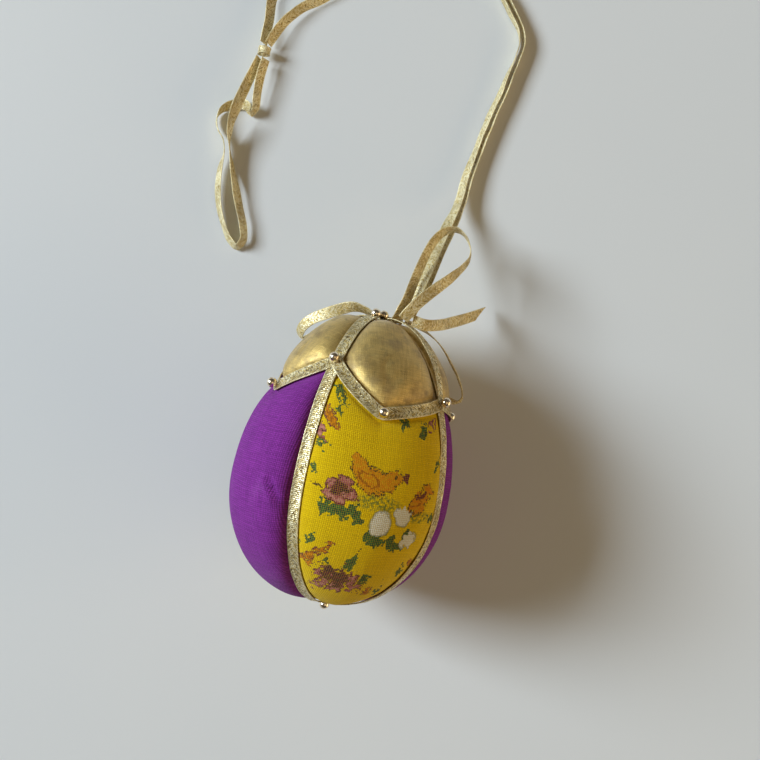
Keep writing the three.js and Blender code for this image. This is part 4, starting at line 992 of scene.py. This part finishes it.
def gathers(phi, theta, spans, seed):
    """Little folds that run in from the tucked edges, where the cloth was pushed into its groove."""
    along = arc_at(phi)
    folds = ripple(np.stack([along / 3.2, theta * 2, 0 * along], -1), 1.0, seed)
    folds += 0.6 * ripple(np.stack([along / 1.5, theta * 3, 0 * along], -1), 1.0, seed + 3)
    by_seam = folds * np.exp(-spans["seam"] / GATHER_REACH)
    sideways = ripple(np.stack([spans["across"] / 3.0, along / 9, 0 * along], -1), 1.0, seed + 8)
    by_hem = sideways * np.exp(-spans["hem"] / GATHER_REACH)
    return GATHER_DEPTH * (by_seam + by_hem)


def fullness(side, phi, u):
    """The share of a gore's padding that is there: it is slack towards one corner."""
    down = np.clip((SLACK_FROM - egg_section(phi)[0]) / SLACK_LENGTH, 0, 1)
    return 1 - SLACK[side] * np.maximum(u, 0) * down


def padding_height(side, kind, phi, u, theta, spans):
    tone = "cap" if kind == "cap" else SIDES[side][1]
    shoulder, power, start = SHOULDER[tone], STEEPNESS[tone], PAD_START[tone]
    near = np.minimum(spans["seam"], spans["hem"])
    from_pole = np.sin(np.clip(spans["pole"] / POLE_SHOULDER[tone], 0, 1) * math.pi / 2)
    full = (rise(spans["seam"] - start, shoulder, power)
            * rise(spans["hem"] - start, HEM_SHOULDER[tone], 2.4) * from_pole)
    if kind == "gore":
        full = full * fullness(side, phi, u)
    height = EDGE_HEIGHT + (CAP_PUFF if kind == "cap" else SIDES[side][2]) * full
    swell = ripple(egg_point(phi, theta, 0.0), SWELL_WAVELENGTH, 3 + side)
    height = height + SWELL_DEPTH * full * swell
    clear = np.clip((near - UNDER_RIBBON) / GATHER_START, 0, 1)
    height = height + gathers(phi, theta, spans, 11 + 4 * side) * clear
    if kind == "cap":
        height = height + crushed_cap(side, phi, theta, full)
    else:
        height = height + fold_marks(side, phi, u) * full
    return height


def crushed_cap(side, phi, theta, full):
    """Soft dents of thin metallic cloth over padding, and a few creases."""
    place = egg_point(phi, theta, 0.0)
    dents = ripple(place, 9.5, 40 + side)
    shallow = ripple(place, 4.2, 45 + side)
    creases = np.abs(ripple(place, 13.0, 50 + side))
    some = np.clip(ripple(place, 8.0, 55 + side) * 3, 0, 1)
    return full * (0.45 * dents + 0.12 * shallow - 0.38 * some * np.exp(-((creases / 0.05) ** 2)))


# Folds pressed into the cotton: side, x and y on the cloth, length, angle and depth.
FOLD_MARKS = [
    (3, 17.6, -1.4, 2.6, 125, 1.1),
    (3, 16.0, 0.6, 1.3, 95, 0.6),
    (1, -13.0, 4.0, 3.0, 70, 0.5),
    (2, 9.0, 9.0, 3.4, 20, 0.4),
]
FOLD_WIDTH = 0.6
RIDGE, RIDGE_OFFSET, RIDGE_WIDTH = 0.7, 1.3, 0.8  # the cloth that a fold pushes up beside it


def fold_marks(side, phi, u):
    """Height that the pressed folds take from a section's cloth."""
    _, r, _, _ = egg_section(phi)
    x, y = u * r * half_span(side), arc_at(phi)
    total = np.zeros_like(x)
    for owner, at_x, at_y, length, angle, depth in FOLD_MARKS:
        if owner != side:
            continue
        turn = math.radians(angle)
        along = (x - at_x) * math.cos(turn) + (y - at_y) * math.sin(turn)
        over = -(x - at_x) * math.sin(turn) + (y - at_y) * math.cos(turn)
        ridge = RIDGE * np.exp(-(((over - RIDGE_OFFSET) / RIDGE_WIDTH) ** 2))
        shape = np.exp(-((over / FOLD_WIDTH) ** 2)) - ridge
        total -= depth * shape * np.exp(-((along / length) ** 4))
    return total


def with_tucks(grid, value):
    """The grid with one more row and column at each edge, given by value of the edge's points."""
    grid = np.concatenate([grid[:1], grid, grid[-1:]])
    grid = np.concatenate([grid[:, :1], grid, grid[:, -1:]], 1)
    if value is not None:
        grid = grid.copy()
        for edge in (np.s_[0], np.s_[-1], np.s_[:, 0], np.s_[:, -1]):
            grid[edge] = value
    return grid


RESTING_LEVEL = 0.02
RESTING_EDGE = 0.35  # height over which the pressed cloth rounds into the rest


def resting(points, level):
    """Presses the padding flat, with a soft edge, where the egg lies on the table."""
    points = points.copy()
    low = points[..., 2] - level
    soft = RESTING_EDGE
    points[..., 2] = level + np.where(low > soft, low, soft * np.exp(np.minimum(low / soft, 1) - 1))
    return points


def make_section(side, kind, rows, columns, material):
    name, colour = SIDES[side][:2]
    phi, u, theta, spans = section_grid(side, kind, rows, columns)
    height = padding_height(side, kind, phi, u, theta, spans)
    flat_phi, flat_theta = with_tucks(phi, None), with_tucks(theta, None)
    outer = egg_point(flat_phi, flat_theta, with_tucks(height, -TUCK_DEPTH))
    inner = egg_point(flat_phi, flat_theta, with_tucks(height, -TUCK_DEPTH) - CLOTH)
    pressed = resting(outer, RESTING_LEVEL), resting(inner, RESTING_LEVEL + CLOTH)
    vertices, faces = grid_shell(*pressed)
    cloth = with_tucks(np.stack([spans["across"], arc_at(phi)], -1), None).reshape(-1, 2)
    node = f"{name}_cap_petal" if kind == "cap" else f"{name}_{colour}_gore"
    cloth = np.concatenate([cloth, cloth])
    piece = make_piece(f"{node}_cloth", vertices, faces, cloth, material, [node])
    return piece


# ---------- ribbons laid on the egg ----------


def laid_ribbon(name, node, path, height, material, seed, cup=0.12):
    """A ribbon over a seam: path is phi and theta along it. It is laid a little unevenly."""
    phi, theta = path
    at = egg_point(phi, theta, height)
    lengths = running_length(at)
    even = np.linspace(0, lengths[-1], max(8, round(lengths[-1] / 0.8)))
    phi, theta = np.interp(even, lengths, phi), np.interp(even, lengths, theta)
    height = np.interp(even, lengths, np.broadcast_to(height, lengths.shape))
    marks = np.stack([even, 0 * even, 0 * even], 1)
    height = height + 0.07 * ripple(marks, 5.0, seed)
    at, up = egg_point(phi, theta, height), egg_normal(phi, theta)
    forward = tangents(at)
    across = unit(np.cross(up, forward))
    at = at + across * (0.12 * ripple(marks, 8.0, seed + 4))[:, None]
    lean = 0.1 * ripple(marks, 6.0, seed + 9)[:, None]
    across, up = unit(across + up * lean), unit(up - across * lean)
    vertices, faces, cloth = ribbon_solid(at, across, up, RIBBON_THICKNESS, cup)
    cloth[:, 0] += seed * 29.0
    return make_piece(name, vertices, faces, cloth, material, [node])


STANDING_OFF = {"front_right": 1.7, "back_left": 0.6}  # slack crown ribbons stand off the cap


def make_laid_ribbons(material):
    for k, (name, angle, corner) in enumerate(SEAMS):
        theta = math.radians(angle)
        phi = np.linspace(phi_of_radius(2.7), phi_at(corner + 0.4), 80)
        node = f"seam_ribbon_{name}"
        path, height = (phi, theta + 0 * phi), RIBBON_HEIGHT - 0.12
        laid_ribbon(f"{node}_braid", node, path, height, material, 3 + k)
        phi = np.linspace(phi_at(corner + 0.4), math.pi - phi_of_radius(3.2), 60)
        node = f"crown_ribbon_{name}"
        bridge = STANDING_OFF.get(name, 0.0) * np.sin(np.linspace(0, math.pi, len(phi))) ** 0.8
        path, height = (phi, theta + 0 * phi), RIBBON_HEIGHT + 0.1 + bridge
        laid_ribbon(f"{node}_braid", node, path, height, material, 13 + k)
    for side, (name, _, _, tip, _) in enumerate(SIDES):
        reach = 1 - 0.4 / (egg_section(phi_at(tip))[1] * half_span(side))
        u = np.linspace(-reach, reach, 90)
        height = RIBBON_HEIGHT + 0.12 + 0.2 * np.abs(u) ** 6
        node = f"hem_ribbon_{name}"
        path = (phi_at(hem_y(side, u)), theta_at(side, u))
        laid_ribbon(f"{node}_braid", node, path, height, material, 23 + side, cup=0.08)


# ---------- pins ----------


def pin_profile():
    """Radius and height along a pin, from its point up over its ball."""
    tip = PIN_LIFT - PIN_LENGTH
    neck = PIN_LIFT - PIN_BALL
    profile = [(0.02, tip), (PIN_SHAFT, tip + 1.3), (PIN_SHAFT, neck - 0.45), (0.52, neck - 0.32),
               (0.58, neck - 0.12), (0.50, neck + 0.06)]
    start = math.asin(0.5 / PIN_BALL)
    for a in np.linspace(start, math.pi, 16)[1:-1]:
        profile.append((PIN_BALL * math.sin(a), PIN_LIFT - PIN_BALL * math.cos(a)))
    profile.append((0.04, PIN_LIFT + PIN_BALL))
    return profile


def make_pin(node, at, outward, material):
    outward = unit(np.array(outward, float))
    side = np.array(Vector(outward).orthogonal().normalized())
    other = np.cross(outward, side)
    angles = np.linspace(0, FULL_TURN, 28, endpoint=False)
    circle = np.outer(np.cos(angles), side) + np.outer(np.sin(angles), other)
    rings = [np.array(at) + circle * radius + outward * height for radius, height in pin_profile()]
    vertices, faces = rings_to_tube(rings)
    cloth = [(a, height) for _, height in pin_profile() for a in angles]
    make_piece(f"{node}_brass", vertices, faces, cloth, material, [node], sharp=70)


def make_pins(material):
    for side, (name, _, _, tip, tip_at) in enumerate(SIDES):
        phi, theta = phi_at(tip), theta_at(side, tip_at)
        make_pin(f"tip_pin_{name}", egg_point(phi, theta, 0.0), egg_normal(phi, theta), material)
    for name, angle, corner in SEAMS:
        phi, theta = phi_at(corner), math.radians(angle)
        make_pin(f"corner_pin_{name}", egg_point(phi, theta, 0.0), egg_normal(phi, theta), material)
    narrow, blunt = WIDEST_Y + SHARP_HALF - POLE_PIN_DROP, WIDEST_Y - BLUNT_HALF + POLE_PIN_DROP
    make_pin("crown_pin_upper", (AXIS_X - 1.0, narrow, AXIS_HEIGHT + 1.2), (0, 1, 0), material)
    make_pin("crown_pin_lower", (AXIS_X + 1.1, narrow, AXIS_HEIGHT - 1.2), (0, 1, 0), material)
    make_pin("base_pin", (AXIS_X, blunt, AXIS_HEIGHT), (0, -1, 0), material)


# ---------- the table and the light ----------


def make_table(material):
    size, high = 1.6, 0.0
    mesh = bpy.data.meshes.new("table")
    corners = [(-size, -size, high), (size, -size, high), (size, size, high), (-size, size, high)]
    mesh.from_pydata(corners, [], [(0, 1, 2, 3)])
    mesh.materials.append(material)
    table = bpy.data.objects.new("table", mesh)
    bpy.context.scene.collection.objects.link(table)


def make_lamp(name, position, target, size, power, colour):
    data = bpy.data.lights.new(name, "AREA")
    data.shape = "RECTANGLE"
    data.size, data.size_y = size
    data.energy = power
    data.color = colour
    lamp = bpy.data.objects.new(name, data)
    lamp.location = Vector(position)
    aim = Vector(target) - Vector(position)
    lamp.rotation_euler = aim.to_track_quat("-Z", "Y").to_euler()
    bpy.context.scene.collection.objects.link(lamp)


def make_light():
    """A wide cool window on the left, and a room's warm light from above and low on the right."""
    roll = math.radians(VIEW_ROLL)
    left = Vector((-math.cos(roll), -math.sin(roll), 0))
    ahead = Vector((-math.sin(roll), math.cos(roll), 0))
    up = Vector((0, 0, 1))
    window = left * 2.5 + ahead * 0.9 + up * 1.75
    make_lamp("window", window, (0, 0, 0.02), (1.15, 1.15), 122.0, (0.80, 0.91, 1.0))
    ceiling = left * -0.6 + ahead * -0.3 + up * 1.7
    make_lamp("ceiling", ceiling, (0, 0, 0.02), (1.2, 1.2), 3.2, (1.0, 0.78, 0.48))
    wall = left * -1.5 + ahead * -0.5 + up * 0.45
    make_lamp("wall", wall, (0, 0, 0.02), (1.4, 0.6), 8.0, (1.0, 0.76, 0.42))
    world = bpy.data.worlds.new("room")
    world.use_nodes = True
    background = world.node_tree.nodes["Background"]
    background.inputs["Color"].default_value = (1.0, 0.84, 0.62, 1)
    background.inputs["Strength"].default_value = 0.08
    bpy.context.scene.world = world
    bpy.context.scene.view_settings.view_transform = "Standard"


# ---------- the whole ornament ----------

braid = metallic_braid("gold_braid", 0.5, 1.3, 0.5, 0.5, 0.4)
free_braid = metallic_braid("free_gold_braid", 0.42, 0.6, 0.3, 0.22, 0.45)
hanger_braid = metallic_braid("hanger_gold_braid", 0.42, 0.8, 0.3, 0.2, 0.6)
brass = polished_brass("pin_brass")
metallic_cloth = lame("gold_lame")

hanger_knot = wound_knot("hanger_knot", HANGER_KNOT, hanger_braid, 1.4, 2)
bow_knot = wound_knot("bow_knot", BOW_KNOT, free_braid, 1.5, 5)

# node, waviness, seed, far end, the pieces on it, and the slant of its cut end
FREE_RIBBONS = [
    ("hanger_strand_inner", 0.35, 1, "knot", [hanger_knot], 0.0),
    ("hanger_strand_outer", 0.35, 2, "knot", [], 0.0),
    ("hanging_loop", 0.2, 3, "object", [], 0.0),
    ("bow_loop_upper", 0.12, 4, "object", [bow_knot], 0.0),
    ("bow_loop_left", 0.12, 5, "object", [], 0.0),
    ("bow_tail_side", 0.12, 6, "bare", [], 0.5),
    ("bow_tail_end", 0.12, 7, "bare", [], 2.6),
]

for node, wave, seed, far_end, on_it, slant in FREE_RIBBONS:
    material = free_braid if node.startswith("bow") else hanger_braid
    ribbon, line = make_free_ribbon(node, material, wave, seed, slant=slant)

# each cotton: its colour, the dark of uneven threads and of the painted shade between threads, and its
# worn colour
yellow = (0.84, 0.56, 0.002), (0.50, 0.30, 0.001), (0.88, 0.62, 0.02)
COTTONS = {
    "front": cotton("yellow_print", *yellow, printed=barnyard_print),
    "back": cotton("yellow_print_offcut", *yellow, printed=barnyard_offcut),
    "left": cotton("purple_cotton", (0.30, 0.038, 0.35), (0.05, 0.005, 0.07), (0.42, 0.11, 0.48)),
}
COTTONS["right"] = COTTONS["left"]

for side, (name, colour, *_) in enumerate(SIDES):
    make_section(side, "gore", 112, 74, COTTONS[name])
    make_section(side, "cap", 62, 62, metallic_cloth)

make_laid_ribbons(braid)
make_pins(brass)

CARRIED_OVER = [("foam", craft_foam("craft_foam")), ("batting", polyester_padding("polyester_padding"))]
for key, material in CARRIED_OVER:
    for name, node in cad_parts.items():
        if key in name:
            node.data.materials.clear()
            node.data.materials.append(material)

make_table(painted_table("painted_table"))
make_light()
